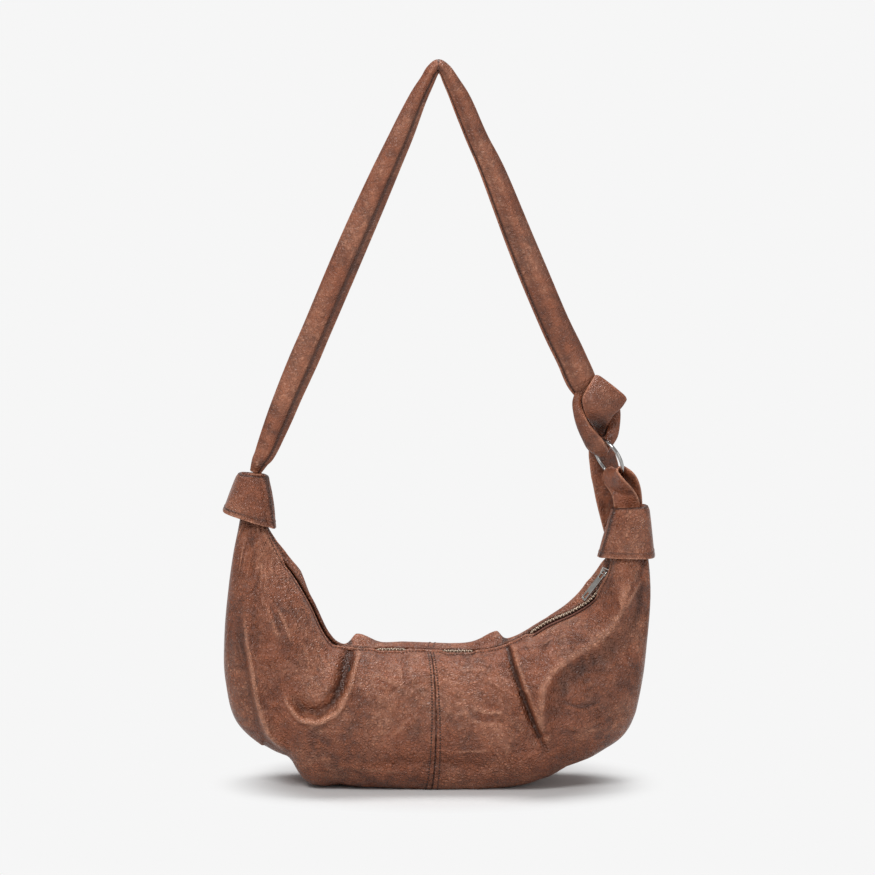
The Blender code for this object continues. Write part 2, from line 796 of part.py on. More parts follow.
def rod_rows(centre, along, length, radius, sides=12):
    """A round-ended bar across the leather, on which it turns in the cuff's mouth."""
    side = Vector((0.0, 1.0, 0.0))
    up = along.cross(side).normalized()
    rows = []
    for out, share in ((-1.0, 0.72), (-0.93, 1.0), (0.93, 1.0), (1.0, 0.72)):
        row = []
        for j in range(sides):
            a = 2 * math.pi * (j + 0.5) / sides
            spoke = side * math.cos(a) + up * math.sin(a)
            row.append(centre + along * out * length / 2 + spoke * radius * share)
        rows.append(row)
    return rows


def make_strap_group(collection, cutters):
    leather_look = ((0.28, 0.12, 0.07), 0.5, 0.0)
    strap = add_object("strap", strap_sweep("strap", 0.0, 2), leather_look, collection)
    left, right = swing_line()
    along = (right - left).normalized()
    bar = rod_rows(left, along, strap_root_width, strap_thickness / 2)
    boolean(strap, cutter("strap_bar", grid_mesh("strap_bar", bar, ring=True, caps=True), cutters), "UNION")
    strap_space = cutter("strap_space", strap_sweep("strap_space", fit_gap), cutters)
    ring_space_mesh = torus_mesh("ring_space", ring_wire_radius + ring_clearance, 36, 8)
    ring_space = cutter("ring_space", ring_space_mesh, cutters)
    tail_space = cutter("tail_space", tail_mesh("tail_space", fit_gap), cutters)
    knot = add_object("strap_knot", knot_part("strap_knot", KNOT_CORE_SHARES, 8), leather_look, collection)
    boolean(knot, cutter("knot_outer", knot_part("knot_outer", KNOT_OUTER_SHARES, 16, 8), cutters), "UNION")
    boolean(knot, cutter("knot_tip", knot_part("knot_tip", KNOT_TIP_SHARES, 6, 8), cutters), "UNION")
    for space in (strap_space, ring_space, tail_space):
        boolean(knot, space, "DIFFERENCE")
    add_object("strap_tail", tail_mesh("strap_tail", 0.0), leather_look, collection)
    add_object("ring", torus_mesh("ring", ring_wire_radius), ((0.55, 0.54, 0.52), 0.2, 1.0), collection)
    loop_mesh = grid_mesh("ring_loop", loop_rows(), ring=True, caps=True)
    loop = add_object("ring_loop", loop_mesh, leather_look, collection)
    base = rod_rows(right, along, loop_base_width, loop_base_thickness / 2)
    boolean(loop, cutter("loop_base", grid_mesh("loop_base", base, ring=True, caps=True), cutters), "UNION")
    boolean(loop, ring_space, "DIFFERENCE")


# Horn ends and cuffs


def rounded(angle, power):
    """The cosine and sine of an angle, pushed out towards a square's corners."""
    c, s = math.cos(angle), math.sin(angle)
    return math.copysign(abs(c) ** power, c), math.copysign(abs(s) ** power, s)


def stub_mesh(name, top, foot, half_w_top, half_w_foot, half_t, along):
    """A flat leather end out of a horn, its top face just under the bar that turns above it."""
    centres = [foot, foot.lerp(top, 0.5), top]
    half_w = [half_w_foot, (half_w_foot + half_w_top) / 2, half_w_top]
    rows = []
    for centre, half in zip(centres, half_w):
        row = []
        for j in range(12):
            c, s = rounded(2 * math.pi * (j + 0.5) / 12, stub_corner_power)
            row.append(centre + along * half * c + Vector((0.0, half_t * s, 0.0)))
        rows.append(row)
    return grid_mesh(name, rows, ring=True, caps=True)


def cuff_ring(centre, half_w, half_d, lean, yaw):
    """One closed section of a cuff, its flat front turned a little by yaw."""
    sides = 20
    row = []
    for j in range(sides):
        c, s = rounded(2 * math.pi * (j + 0.5) / sides, cuff_corner_power)
        p, q = half_w * c, half_d * s
        wide = p * math.cos(yaw) - q * math.sin(yaw) * cuff_turn_shares[0]
        deep = q * math.cos(yaw) + p * math.sin(yaw) * cuff_turn_shares[1]
        row.append(centre + Vector((wide * math.cos(lean), deep, wide * math.sin(lean))))
    return row


def cuff_mesh(name, ends, halves, mouth_half_depth, leans, yaw):
    """A flattened collar: rim of the mouth, rolled top edge, flared side and hem."""
    top, hem = ends
    mouth_half, top_half, hem_half = halves
    top_lean, hem_lean = leans
    up = (top - hem).normalized()
    roll_half = mouth_half * rim_share + top_half * (1 - rim_share)
    roll_depth = mouth_half_depth * rim_share + cuff_top_half_depth * (1 - rim_share)
    rows = [
        cuff_ring(top - up * 2 * cuff_roll, mouth_half, mouth_half_depth, top_lean, yaw),
        cuff_ring(top - up * cuff_roll / 3, roll_half, roll_depth, top_lean, yaw),
        cuff_ring(top - up * cuff_roll * rim_share, top_half, cuff_top_half_depth, top_lean, yaw),
    ]
    steps = 5
    for k in range(1, steps + 1):
        f = k / steps
        flare = f**cuff_flare_power
        half_w = top_half + (hem_half - top_half) * flare
        half_d = cuff_top_half_depth + (cuff_hem_half_depth - cuff_top_half_depth) * flare
        rows.append(cuff_ring(top.lerp(hem, f), half_w, half_d, top_lean + (hem_lean - top_lean) * f, yaw))
    return grid_mesh(name, rows, ring=True, flip=True)


# Where the sewn-in ends stand in the horns, as shares of the bag's width, and the loop's end, top and foot
LEFT_STUB_FOOT_SHARES = (-0.431, 0.690)
RIGHT_STUB_FOOT_SHARES = (0.4465, 0.600)
LOOP_STUB_SHARES = (0.46, 0.32)

# Middle of each cuff's top edge and hem, as shares of the bag's width: x and z
LEFT_CUFF_SHARES = ((-0.4302, 0.7326), (-0.4407, 0.6247))
RIGHT_CUFF_SHARES = ((0.4453, 0.6512), (0.4384, 0.5372))


def make_horn_ends(collection):
    leather_look = ((0.27, 0.115, 0.068), 0.5, 0.0)
    left, right = swing_line()
    along = (right - left).normalized()
    down = Vector((along.z, 0.0, -along.x))
    top = left + down * (strap_thickness / 2 + fit_gap)
    foot = shares_to_place(LEFT_STUB_FOOT_SHARES)
    root_half = strap_root_width / 2
    root_half_t = strap_thickness * root_thin_share
    mesh = stub_mesh("strap_root", top, foot, root_half, root_half, root_half_t, along)
    add_object("strap_root", mesh, leather_look, collection)
    top = right + down * (loop_base_thickness / 2 + fit_gap)
    foot = shares_to_place(RIGHT_STUB_FOOT_SHARES)
    half_w_top, half_w_foot = (loop_base_width * share for share in LOOP_STUB_SHARES)
    mesh = stub_mesh("loop_root", top, foot, half_w_top, half_w_foot, loop_thickness * loop_stub_share, along)
    add_object("loop_root", mesh, leather_look, collection)
    ends = [shares_to_place(p) for p in LEFT_CUFF_SHARES]
    halves = (root_half * left_mouth_shares[0], left_cuff_top_half, left_cuff_hem_half)
    depth = strap_thickness * left_mouth_shares[1]
    mesh = cuff_mesh("left_cuff", ends, halves, depth, left_cuff_leans, cuff_yaw)
    thicken(add_object("left_cuff", mesh, leather_look, collection), cuff_thickness)
    ends = [shares_to_place(p) for p in RIGHT_CUFF_SHARES]
    halves = (loop_base_width * right_mouth_shares[0], right_cuff_top_half, right_cuff_hem_half)
    depth = loop_base_thickness * right_mouth_shares[1]
    mesh = cuff_mesh("right_cuff", ends, halves, depth, right_cuff_leans, -cuff_yaw)
    thicken(add_object("right_cuff", mesh, leather_look, collection), cuff_thickness)


def main():
    for obj in list(bpy.data.objects):
        bpy.data.objects.remove(obj)
    parts = new_collection("dumpling_bag")
    cutters = new_collection("cutters")
    make_panels(parts)
    make_lining(parts)
    make_tapes(parts)
    make_teeth(parts)
    make_slider(parts, cutters)
    make_bottom_stop(parts)
    make_strap_group(parts, cutters)
    make_horn_ends(parts)


main()
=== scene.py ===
"""The looks of a crescent shoulder bag in soft waxed leather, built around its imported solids.

Metres, +Z up. The front is seen along +Y. The floor is at z = 0 under the middle of the bag.
"""

import math

import bmesh
import bpy
import numpy as np
from mathutils import Matrix, Vector, noise


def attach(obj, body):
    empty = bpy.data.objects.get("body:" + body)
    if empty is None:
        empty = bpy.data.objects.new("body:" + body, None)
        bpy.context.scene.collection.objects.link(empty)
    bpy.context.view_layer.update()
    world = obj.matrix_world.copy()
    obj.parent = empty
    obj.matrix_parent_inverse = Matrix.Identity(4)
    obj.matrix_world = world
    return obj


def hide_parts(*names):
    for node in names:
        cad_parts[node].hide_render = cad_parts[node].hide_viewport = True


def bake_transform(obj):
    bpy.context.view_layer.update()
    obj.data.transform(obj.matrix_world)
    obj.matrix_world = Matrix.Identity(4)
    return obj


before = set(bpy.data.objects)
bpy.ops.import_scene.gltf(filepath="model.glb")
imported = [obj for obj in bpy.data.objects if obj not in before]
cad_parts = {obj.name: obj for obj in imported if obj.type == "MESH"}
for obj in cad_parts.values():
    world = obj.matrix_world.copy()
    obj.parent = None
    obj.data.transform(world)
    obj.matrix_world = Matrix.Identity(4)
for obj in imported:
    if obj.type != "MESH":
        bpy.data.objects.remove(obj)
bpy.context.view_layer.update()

# The view
view_elevation = math.radians(8.0)
view_distance = 5.0
picture_width = 0.875
picture_middle_x = -0.001
picture_middle_height = 0.3475
base_line = 785.0
middle_column = 438.5
pixel = 0.001
# Depths at which the drawn lines of the front and of the back's rim are read
front_depth = -0.050
rim_depth = 0.018

# The body, as in the solids
bag_width = 0.430
bag_depth = 0.120
overall_height = 0.735
leather_wall = 0.0016
zip_half_opening = 0.005
seam_half_gap = 0.0001
seam_bow = 0.007
shoulder_rise = 0.020
strap_width = 0.030
strap_thickness = 0.0095

# Stations from the left horn to the right one: zip x and z, outer seam x and z, half depth
CRESCENT_SHARES = [
    (-0.414, 0.705, -0.449, 0.705, 0.17),
    (-0.405, 0.612, -0.465, 0.612, 0.22),
    (-0.372, 0.542, -0.479, 0.542, 0.37),
    (-0.333, 0.491, -0.491, 0.456, 0.57),
    (-0.295, 0.426, -0.500, 0.353, 0.77),
    (-0.260, 0.353, -0.498, 0.247, 0.90),
    (-0.226, 0.323, -0.465, 0.140, 0.97),
    (-0.163, 0.317, -0.349, 0.056, 1.00),
    (-0.093, 0.317, -0.195, -0.009, 1.00),
    (-0.021, 0.314, -0.023, -0.014, 0.97),
    (0.051, 0.313, 0.116, -0.014, 0.97),
    (0.121, 0.316, 0.214, -0.005, 1.00),
    (0.186, 0.340, 0.307, 0.037, 1.00),
    (0.251, 0.381, 0.386, 0.084, 0.95),
    (0.312, 0.409, 0.442, 0.140, 0.85),
    (0.360, 0.442, 0.474, 0.233, 0.70),
    (0.395, 0.493, 0.488, 0.344, 0.55),
    (0.405, 0.530, 0.495, 0.442, 0.42),
    (0.409, 0.563, 0.491, 0.521, 0.30),
    (0.416, 0.595, 0.481, 0.572, 0.23),
    (0.421, 0.623, 0.472, 0.609, 0.20),
]
# How far the lower edge hangs under its plain curve, by the picture's column, in thousandths of a metre
HANG = (
    (262, -1.6), (275, -2.4), (287, -4.8), (291, -3.0), (297, 5.0), (303, 10.5), (312, 11.6), (325, 7.0),
    (340, -1.0), (375, -4.5), (405, -2.5), (430, 0.0), (475, 0.0), (500, -3.0), (522, -4.5), (541, -5.0),
    (551, -3.5), (567, -5.0), (590, -1.0), (604, 0.0), (626, 4.0), (637, 6.0), (643, 0.0),
)
# How far the back's rim stands up at each station, as a share of the shoulder's rise
RISE_SHARES = (
    0, 0.15, 0.5, 0.5, 0.2, 0.1, 0.2, 0.45, 0.6, 0.6, 0.6, 0.55, 0.4, 0.35, 0.7, 1.0, 0.85, 0.4, 0.15, 0, 0,
)
# Gathers of the back's rim: place as a share of the width, reach to the left and right, height
PUCKERS = ((-0.203, 0.006, 0.0175, 0.0125), (0.1425, 0.020, 0.006, 0.0125))
SEAM_STATION = 9
LAST_STATION = len(CRESCENT_SHARES) - 1
ZIP_FIRST, ZIP_LAST = 1.2, 16.45
# How far the floor presses the leather's lowest points flat
floor_press = 0.0002

# Where the lining, the zip's rolled edges and the stitching beside them start, in stations, and their reach
LINING_START, LINING_REACH = 2.0, 16.0
ROLL_START, ROLL_REACH = 0.35, 17.4
RIM_STITCH_START, RIM_STITCH_REACH = 1.3, 15.6
# The lining starts at this share of the way from the zip to the outer seam, and lies this far inside
lining_rim_share = 0.18
lining_inset = 0.0045
# The stitches run this far beside the centre seam, in stations, and this far under the zip's edge
seam_stitch_offset = 0.085
rim_stitch_inset = 0.0045
stitch_pitch = 0.0030
tooth_pitch = 0.0036

DEPTH = Vector((0.0, 1.0, 0.0))
# The wear and painted shading of a vertex for a bend of one per metre: paler wear on ridges, painted shade in
# creases
wear_and_shading_per_bend = 0.006


# Shader maths


def reading(operation, turned=False):
    """An operator of Value: a maths node fed by it and by what stands beside it."""

    def read(self, other):
        pair = (other, self) if turned else (self, other)
        return self.look.maths(operation, *pair)

    return read


class Value:
    """A socket that takes part in Python expressions."""

    def __init__(self, look, socket):
        self.look = look
        self.socket = socket

    __add__, __radd__ = reading("ADD"), reading("ADD", turned=True)
    __sub__, __rsub__ = reading("SUBTRACT"), reading("SUBTRACT", turned=True)
    __mul__, __rmul__ = reading("MULTIPLY"), reading("MULTIPLY", turned=True)


class Look:
    """A material or world being written: nodes are added by type, settings and inputs."""

    def __init__(self, name, kind="materials", surface="Principled BSDF"):
        self.material = getattr(bpy.data, kind).new(name)
        self.material.use_nodes = True
        self.tree = self.material.node_tree
        self.surface = self.tree.nodes[surface]

    def node(self, kind, settings=None, values=None, out=0):
        made = self.tree.nodes.new(kind)
        for key, value in (settings or {}).items():
            setattr(made, key, value)
        for key, value in (values or {}).items():
            self.join(made.inputs[key], value)
        return Value(self, made.outputs[out])

    def join(self, socket, value):
        if isinstance(value, Value):
            self.tree.links.new(value.socket, socket)
        elif isinstance(value, (tuple, list)) and socket.type == "RGBA":
            socket.default_value = (*value, 1.0) if len(value) == 3 else value
        else:
            socket.default_value = value

    def maths(self, operation, *values):
        return self.node("ShaderNodeMath", {"operation": operation}, dict(enumerate(values)))

    def place(self):
        return self.node("ShaderNodeTexCoord", out="Object")

    def noise(self, where, scale, detail=3.0, roughness=0.55, out="Fac"):
        values = {"Vector": where, "Scale": scale, "Detail": detail, "Roughness": roughness}
        return self.node("ShaderNodeTexNoise", {}, values, out)

    def cells(self, where, scale):
        """Distance to the nearest border between rounded cells."""
        settings = {"feature": "DISTANCE_TO_EDGE"}
        return self.node("ShaderNodeTexVoronoi", settings, {"Vector": where, "Scale": scale}, "Distance")

    def fold_lines(self, where, scale, width):
        """Thin wandering lines, 1 on the line, where a noise passes its middle value."""
        field = self.noise(where, scale, 2.0, 0.5)
        return self.ease(self.maths("ABSOLUTE", field - 0.5), width, 0.0)

    def ease(self, value, low, high, first=0.0, last=1.0):
        return self.node(
            "ShaderNodeMapRange",
            {"interpolation_type": "SMOOTHSTEP"},
            {"Value": value, "From Min": low, "From Max": high, "To Min": first, "To Max": last},
        )

    def blend(self, share, a, b):
        """The colour a, turned into b by share; a colour mix has its own sockets 6, 7 and 2."""
        return self.node("ShaderNodeMix", {"data_type": "RGBA"}, {0: share, 6: a, 7: b}, 2)

    def shift(self, where, amount, by):
        moved = self.node("ShaderNodeVectorMath", {"operation": "SCALE"}, {0: by, "Scale": amount})
        return self.node("ShaderNodeVectorMath", {"operation": "ADD"}, {0: where, 1: moved})

    def stretch(self, where, scale, turn=(0.0, 0.0, 0.0)):
        return self.node("ShaderNodeMapping", {}, {"Vector": where, "Scale": scale, "Rotation": turn})

    def set(self, **values):
        for key, value in values.items():
            self.join(self.surface.inputs[key.replace("_", " ")], value)

    def bump(self, height, distance, strength=1.0):
        values = {"Height": height, "Distance": distance, "Strength": strength}
        self.set(Normal=self.node("ShaderNodeBump", {}, values, "Normal"))


# Colours of the leather, from its dark grain creases to its worn ridges, whose pale colour also serves for
# painted highlights and glints, then the painted shade of its creases and hollows, and of its thread
DARK = (0.112, 0.033, 0.015)
MIDDLE = (0.340, 0.108, 0.050)
LIGHT = (0.720, 0.335, 0.205)
RUST = (0.360, 0.098, 0.038)
# Painted shade, laid into creases and hollows
PAINTED_SHADE = (0.038, 0.012, 0.006)
THREAD = (0.060, 0.022, 0.013)
THREAD_SHADE = (0.030, 0.011, 0.007)


def waxed_leather(name, grain=1.0):
    """Pebbled leather with a mottled waxy colour and dark grain creases; painted glints and sheen; paler worn
    ridges with painted highlights, and painted shade in creases and hollows.
    """
    look = Look(name)
    here = look.place()
    drift = look.noise(here, 60.0, 2.0, out="Color")
    bent = look.shift(here, 0.0060, drift)
    pebble = look.ease(look.cells(bent, 290.0), 0.02, 0.36)
    wander = look.noise(here, 17.0, 3.0, out="Color")
    torn = look.shift(here, 0.050, wander)
    long_lines = look.fold_lines(look.stretch(torn, (1.0, 1.0, 1.9), (0.0, 0.5, 0.0)), 62.0, 0.034)
    short_lines = look.fold_lines(look.stretch(torn, (1.7, 1.0, 1.0), (0.0, 0.3, 0.0)), 140.0, 0.055)
    patch = look.ease(look.noise(here, 22.0, 2.0), 0.42, 0.62)
    creases = long_lines * (0.15 + 0.55 * patch) + short_lines * (0.30 - 0.15 * patch)
    mottle = look.ease(look.noise(bent, 88.0, 5.0, 0.68), 0.34, 0.66)
    speck = look.ease(look.noise(bent, 230.0, 3.0, 0.6), 0.50, 0.66)
    cloud = look.ease(look.noise(torn, 20.0, 3.0, 0.55), 0.44, 0.62)
    tint = look.ease(look.noise(here, 31.0, 4.0, 0.6), 0.38, 0.62)
    fine = look.noise(here, 900.0, 3.0)
    # Wear on ridges and painted light and shade, stored on each vertex
    wear_and_shading = look.node("ShaderNodeAttribute", {"attribute_name": "wear_and_shading"}, {}, "Fac")
    base = look.blend(mottle, DARK, MIDDLE)
    base = look.blend(tint * 0.40, base, RUST)
    # Painted glints: pale specks on the pebbles, strongest in the cloudy patches; then a faint painted sheen in
    # those patches
    base = look.blend(speck * (0.06 + 0.38 * cloud), base, LIGHT)
    base = look.blend(cloud * 0.16, base, LIGHT)
    # Paler worn ridges carrying painted highlights, then painted shade in creases and hollows
    base = look.blend(look.ease(wear_and_shading, 0.04, 0.8) * (0.50 + 0.40 * speck), base, LIGHT)
    base = look.blend(look.ease(wear_and_shading, -0.04, -0.9) * 0.88, base, PAINTED_SHADE)
    base = look.blend(creases * 0.34, base, DARK)
    base = look.blend((1.0 - pebble) * (0.26 + 0.22 * patch) * grain, base, DARK)
    look.set(Base_Color=base, Specular_IOR_Level=0.5)
    soft = 0.14 * (1.0 - grain)
    look.set(Roughness=look.ease(mottle + 0.6 * (1.0 - pebble), 0.0, 1.6, 0.30 + soft, 0.44 + soft))
    height = pebble * 0.92 * grain + fine * 0.04 + speck * 0.24 - creases * 0.60 + mottle * 0.50
    look.bump(height, 0.0009 * grain)
    return look.material


def woven(name, colour, pitch, rough=0.85):
    """Plain woven cloth, its threads along the piece's own two directions."""
    look = Look(name)
    here = look.place()
    wave = 2.0 * math.pi / pitch
    across = look.node("ShaderNodeSeparateXYZ", {}, {"Vector": here}, "X")
    along = look.node("ShaderNodeSeparateXYZ", {}, {"Vector": here}, "Z")
    weave = look.maths("SINE", across * wave) * look.maths("SINE", along * wave) * 0.5 + 0.5
    pale = tuple(min(1.0, c * 1.5) for c in colour)
    look.set(Base_Color=look.blend(weave, colour, pale), Roughness=rough)
    look.bump(weave, 0.0002, 0.6)
    return look.material


def aged_metal(name, colour, rough, scratch=0.3):
    """Plated metal with a cloudy tarnish and fine rubbing marks."""
    look = Look(name)
    here = look.place()
    cloud = look.ease(look.noise(here, 160.0, 4.0, 0.6), 0.35, 0.72)
    rub = look.noise(look.stretch(here, (2600.0, 600.0, 900.0), (0.3, 0.8, 0.2)), 1.0, 3.0)
    dull = tuple(c * 0.45 for c in colour)
    look.set(Base_Color=look.blend(cloud * scratch, colour, dull), Metallic=1.0)
    look.set(Roughness=look.ease(cloud + rub, 0.4, 1.6, rough * 0.7, rough * 1.4))
    look.bump(rub, 0.00004, 0.4)
    return look.material


def thread_look(name):
    """Waxed sewing thread with its twist."""
    look = Look(name)
    here = look.place()
    twist = look.noise(look.stretch(here, (1500.0, 1500.0, 2600.0), (0.6, 0.5, 0.0)), 1.0, 1.0)
    strand = look.blend(look.ease(twist, 0.35, 0.65), THREAD_SHADE, THREAD)
    look.set(Base_Color=strand, Roughness=0.6)
    look.bump(twist, 0.0001, 0.5)
    return look.material


# Making pieces


def smooth(x):
    x = min(1.0, max(0.0, x))
    return x * x * (3.0 - 2.0 * x)


def bell(x, width):
    return math.exp(-((x / width) ** 2))


def ends_fade(share, first, last):
    """1 along a line, fading to 0 over this share of it at either end; a first of 0 fades only the last."""
    opening = smooth(share / first) if first else 1.0
    return opening * smooth((1.0 - share) / last)


def through(rows, s):
    """A smooth curve through rows of values, at place s counted in rows."""
    i = min(len(rows) - 2, max(0, int(math.floor(s))))
    f = s - i
    a, b = rows[max(0, i - 1)], rows[i]
    c, d = rows[i + 1], rows[min(len(rows) - 1, i + 2)]
    out = []
    for p, q, r, t in zip(a, b, c, d):
        bend = 2 * p - 5 * q + 4 * r - t
        turn = 3 * q - p - 3 * r + t
        out.append(0.5 * (2 * q + (r - p) * f + bend * f * f + turn * f**3))
    return out


def seen_at(column, row, y=0.0):
    """The place that the picture shows at this column and row, at depth y."""
    height = (base_line - row) * pixel
    z = (height - y * math.sin(view_elevation)) / math.cos(view_elevation)
    return Vector(((column - middle_column) * pixel, y, z))


def column_of(x):
    """The picture's column that shows what lies at x."""
    return x / pixel + middle_column


def new_object(name, data):
    """An object of this data, put into the scene."""
    obj = bpy.data.objects.new(name, data)
    bpy.context.scene.collection.objects.link(obj)
    return obj


def grid_piece(name, along, around, place, weld=False):
    """A grid primitive with each vertex set at place(u, v); weld closes seams and poles."""
    bpy.ops.object.select_all(action="DESELECT")
    bpy.ops.mesh.primitive_grid_add(x_subdivisions=along, y_subdivisions=around, size=1.0)
    obj = bpy.context.object
    obj.name = name
    obj.data.name = name
    for vertex in obj.data.vertices:
        u = min(1.0, max(0.0, vertex.co.x + 0.5))
        v = min(1.0, max(0.0, vertex.co.y + 0.5))
        vertex.co = place(u, v)
    if weld:
        bpy.ops.object.mode_set(mode="EDIT")
        bpy.ops.mesh.select_all(action="SELECT")
        bpy.ops.mesh.remove_doubles(threshold=0.00001)
        bpy.ops.mesh.normals_make_consistent(inside=False)
        bpy.ops.object.mode_set(mode="OBJECT")
    bpy.ops.object.shade_smooth()
    return obj


def finish_with(obj, kind, **settings):
    """Adds one modifier and applies it."""
    bpy.ops.object.select_all(action="DESELECT")
    obj.select_set(True)
    bpy.context.view_layer.objects.active = obj
    mod = obj.modifiers.new(kind.lower(), kind)
    for key, value in settings.items():
        setattr(mod, key, value)
    bpy.ops.object.modifier_apply(modifier=mod.name)


def vertex_rows(mesh, what):
    """The places or the normals of all vertices, one row each."""
    values = np.empty(len(mesh.vertices) * 3)
    mesh.vertices.foreach_get(what, values)
    return values.reshape(-1, 3)


def mark_wear_and_shading(obj, gain=1.0, spread=3, painted=None):
    """Stores on each vertex how far it stands out of its neighbours, ridges up and creases down (paler wear on
    ridges, painted shade in creases), plus any painted light and shade.
    """
    mesh = obj.data
    count = len(mesh.vertices)
    places, normals = vertex_rows(mesh, "co"), vertex_rows(mesh, "normal")
    edges = np.empty(len(mesh.edges) * 2, dtype=np.int64)
    mesh.edges.foreach_get("vertices", edges)
    a, b = edges.reshape(-1, 2).T
    apart = places[b] - places[a]
    length = np.maximum(np.linalg.norm(apart, axis=1), 1e-6)
    bend_a = -(apart * normals[a]).sum(1) / length**2
    bend_b = (apart * normals[b]).sum(1) / length**2
    total = np.bincount(a, bend_a, count) + np.bincount(b, bend_b, count)
    degree = np.maximum(np.bincount(a, minlength=count) + np.bincount(b, minlength=count), 1)
    wear_and_shading = total / degree
    for _ in range(spread):
        wear_and_shading = (wear_and_shading + (np.bincount(a, wear_and_shading[b], count) + np.bincount(b, wear_and_shading[a], count)) / degree) / 2
    wear_and_shading = wear_and_shading * gain * wear_and_shading_per_bend
    # Painted highlights and shade for this piece
    if painted:
        wear_and_shading += np.array([painted(v.co.x, v.co.z) for v in mesh.vertices])
    field = mesh.attributes.new("wear_and_shading", "FLOAT", "POINT")
    field.data.foreach_set("value", np.clip(wear_and_shading, -1.0, 1.0).astype(np.float32))


def wear_look(obj, material):
    obj.data.materials.clear()
    obj.data.materials.append(material)


def dress(obj, material, body=None, nodes=()):
    """Gives a piece its material and slot, the body that it rides on and the solids it stands for."""
    wear_look(obj, material)
    if body:
        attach(obj, body)
    if nodes:
        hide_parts(*nodes)


# The crescent body


def station(s):
    zx, zz, ox, oz, depth_share = through(CRESCENT_SHARES, s)
    top = Vector((zx * bag_width, 0.0, zz * bag_width))
    foot = Vector((ox * bag_width, 0.0, oz * bag_width))
    return top, foot, depth_share * bag_depth / 2


def from_line(x, z, points, y=front_depth):
    """Distance to a drawn line, positive on its right when walked, share of it passed, and plain distance."""
    spot = Vector((x, z))
    best = (1.0e9, 0.0, 0.0)
    lengths = [0.0]
    flat = [Vector((p.x, p.z)) for p in (seen_at(column, row, y) for column, row in points)]
    for p, q in zip(flat, flat[1:]):
        lengths.append(lengths[-1] + (q - p).length)
    for i, (p, q) in enumerate(zip(flat, flat[1:])):
        run = q - p
        held = min(1.0, max(0.0, (spot - p).dot(run) / run.length_squared))
        away = spot - p.lerp(q, held)
        distance = away.length
        if distance < best[0]:
            side = run.x * away.y - run.y * away.x
            best = (distance, -math.copysign(distance, side), (lengths[i] + held * run.length) / lengths[-1])
    return best[1], best[2], best[0]


# Lines drawn along the front's folds, by the picture's columns and rows
FOLDS = {
    "lobe": [(354, 652), (349, 668), (343, 688), (333, 706), (318, 714), (303, 711), (293, 700), (288, 686)],
    "far left": [(243, 600), (247, 640), (253, 672), (258, 703), (268, 735), (290, 758)],
    "right": [(509, 650), (514, 668), (520, 684), (527, 702), (535, 722), (543, 742), (550, 762)],
    "ridge": [
        (541, 735), (540, 705), (543, 684), (552, 670), (568, 658), (590, 646), (612, 629), (624, 604),
        (626, 578),
    ],
    "horn": [(604, 572), (603, 592), (597, 612)],
    "right horn": [(644, 566), (641, 600), (634, 640)],
    "left horn": [(250, 524), (254, 560), (256, 600), (250, 650)],
    "low": [(340, 772), (385, 764), (430, 762), (480, 766), (520, 764)],
    "lip": [(262, 528), (270, 548), (290, 570), (300, 590), (318, 620), (330, 645)],
}
# Swells and creases along the folds: height, its middle to the right of the line, its width, and the shares
# over which its ends fade. Some rows add where a one-sided one starts and over what width, and its loss
# along the fold
SWELLS = (
    ("lobe", 0.0050, 0.0, 0.050, 0.04, 0.25, 0.0, -0.005, 0.0),
    ("lobe", 0.0048, -0.0052, 0.0030, 0.04, 0.25),
    ("lobe", -0.0115, 0.0030, 0.0062, 0.04, 0.25, 0.0, 0.0, 0.45),
    ("far left", 0.0040, 0.0, 0.0050, 0.3, 0.1),
    ("far left", -0.0055, 0.006, 0.020, 0.3, 0.1, 0.0, 0.006, 0.0),
    ("far left", -0.0022, -0.012, 0.008, 0.3, 0.1),
    ("right", -0.0065, 0.0018, 0.0036, 0.03, 0.4),
    ("right", 0.0085, 0.0, 0.046, 0.03, 0.4, 0.0015, -0.0045, 0.0),
    ("ridge", 0.0062, 0.0, 0.0085, 0.15, 0.12),
    ("ridge", -0.0060, 0.022, 0.014, 0.15, 0.12),
    ("horn", -0.0030, 0.0, 0.003, 0.0, 0.5),
    ("right horn", -0.0032, 0.0, 0.005, 0.0, 0.5),
    ("left horn", -0.0022, 0.0, 0.006, 0.0, 0.6),
    ("lip", 0.0030, 0.0, 0.0045, 0.1, 0.2),
    ("low", -0.0030, 0.0, 0.007, 0.3, 0.3),
)
# Painted highlights on ridges and painted shade in creases along the folds, in the same way
FOLD_LIGHT_AND_SHADE = (
    ("lobe", 1.10, -0.0058, 0.0018, 0.05, 0.2),
    ("lobe", -0.95, 0.0025, 0.0048, 0.05, 0.2, 0.0, 0.0, 0.75),
    ("far left", 0.60, 0.0, 0.0022, 0.3, 0.1),
    ("far left", -0.30, 0.004, 0.022, 0.3, 0.1, 0.0, 0.004, 0.0),
    ("right", -0.95, 0.0015, 0.0026, 0.03, 0.4),
    ("right", 0.40, -0.0045, 0.0028, 0.03, 0.4),
    ("ridge", 0.50, 0.0, 0.0050, 0.12, 0.12),
    ("ridge", -0.30, 0.016, 0.010, 0.12, 0.12),
    ("lip", 0.55, 0.0, 0.0022, 0.15, 0.25),
    ("lip", -0.35, -0.006, 0.003, 0.15, 0.25),
    ("horn", -0.35, 0.0, 0.003, 0.0, 0.5),
    ("right horn", -0.35, 0.0, 0.003, 0.0, 0.5),
    ("left horn", -0.35, 0.0, 0.003, 0.0, 0.5),
)
# Broad areas of painted light and painted shade on the front: column, row, radius and amount
BROAD_LIGHT_AND_SHADE = (
    (400, 690, 40, 0.34), (470, 712, 34, 0.26), (292, 632, 30, 0.16), (272, 570, 20, 0.22),
    (566, 625, 26, 0.20), (633, 590, 16, 0.25), (372, 745, 26, 0.28),
    (600, 692, 44, -0.38), (290, 668, 30, -0.16),
    (236, 640, 20, -0.22), (430, 790, 60, -0.10), (500, 745, 28, 0.14), (338, 750, 26, -0.15),
    (318, 668, 18, -0.15), (646, 680, 22, -0.20),
)
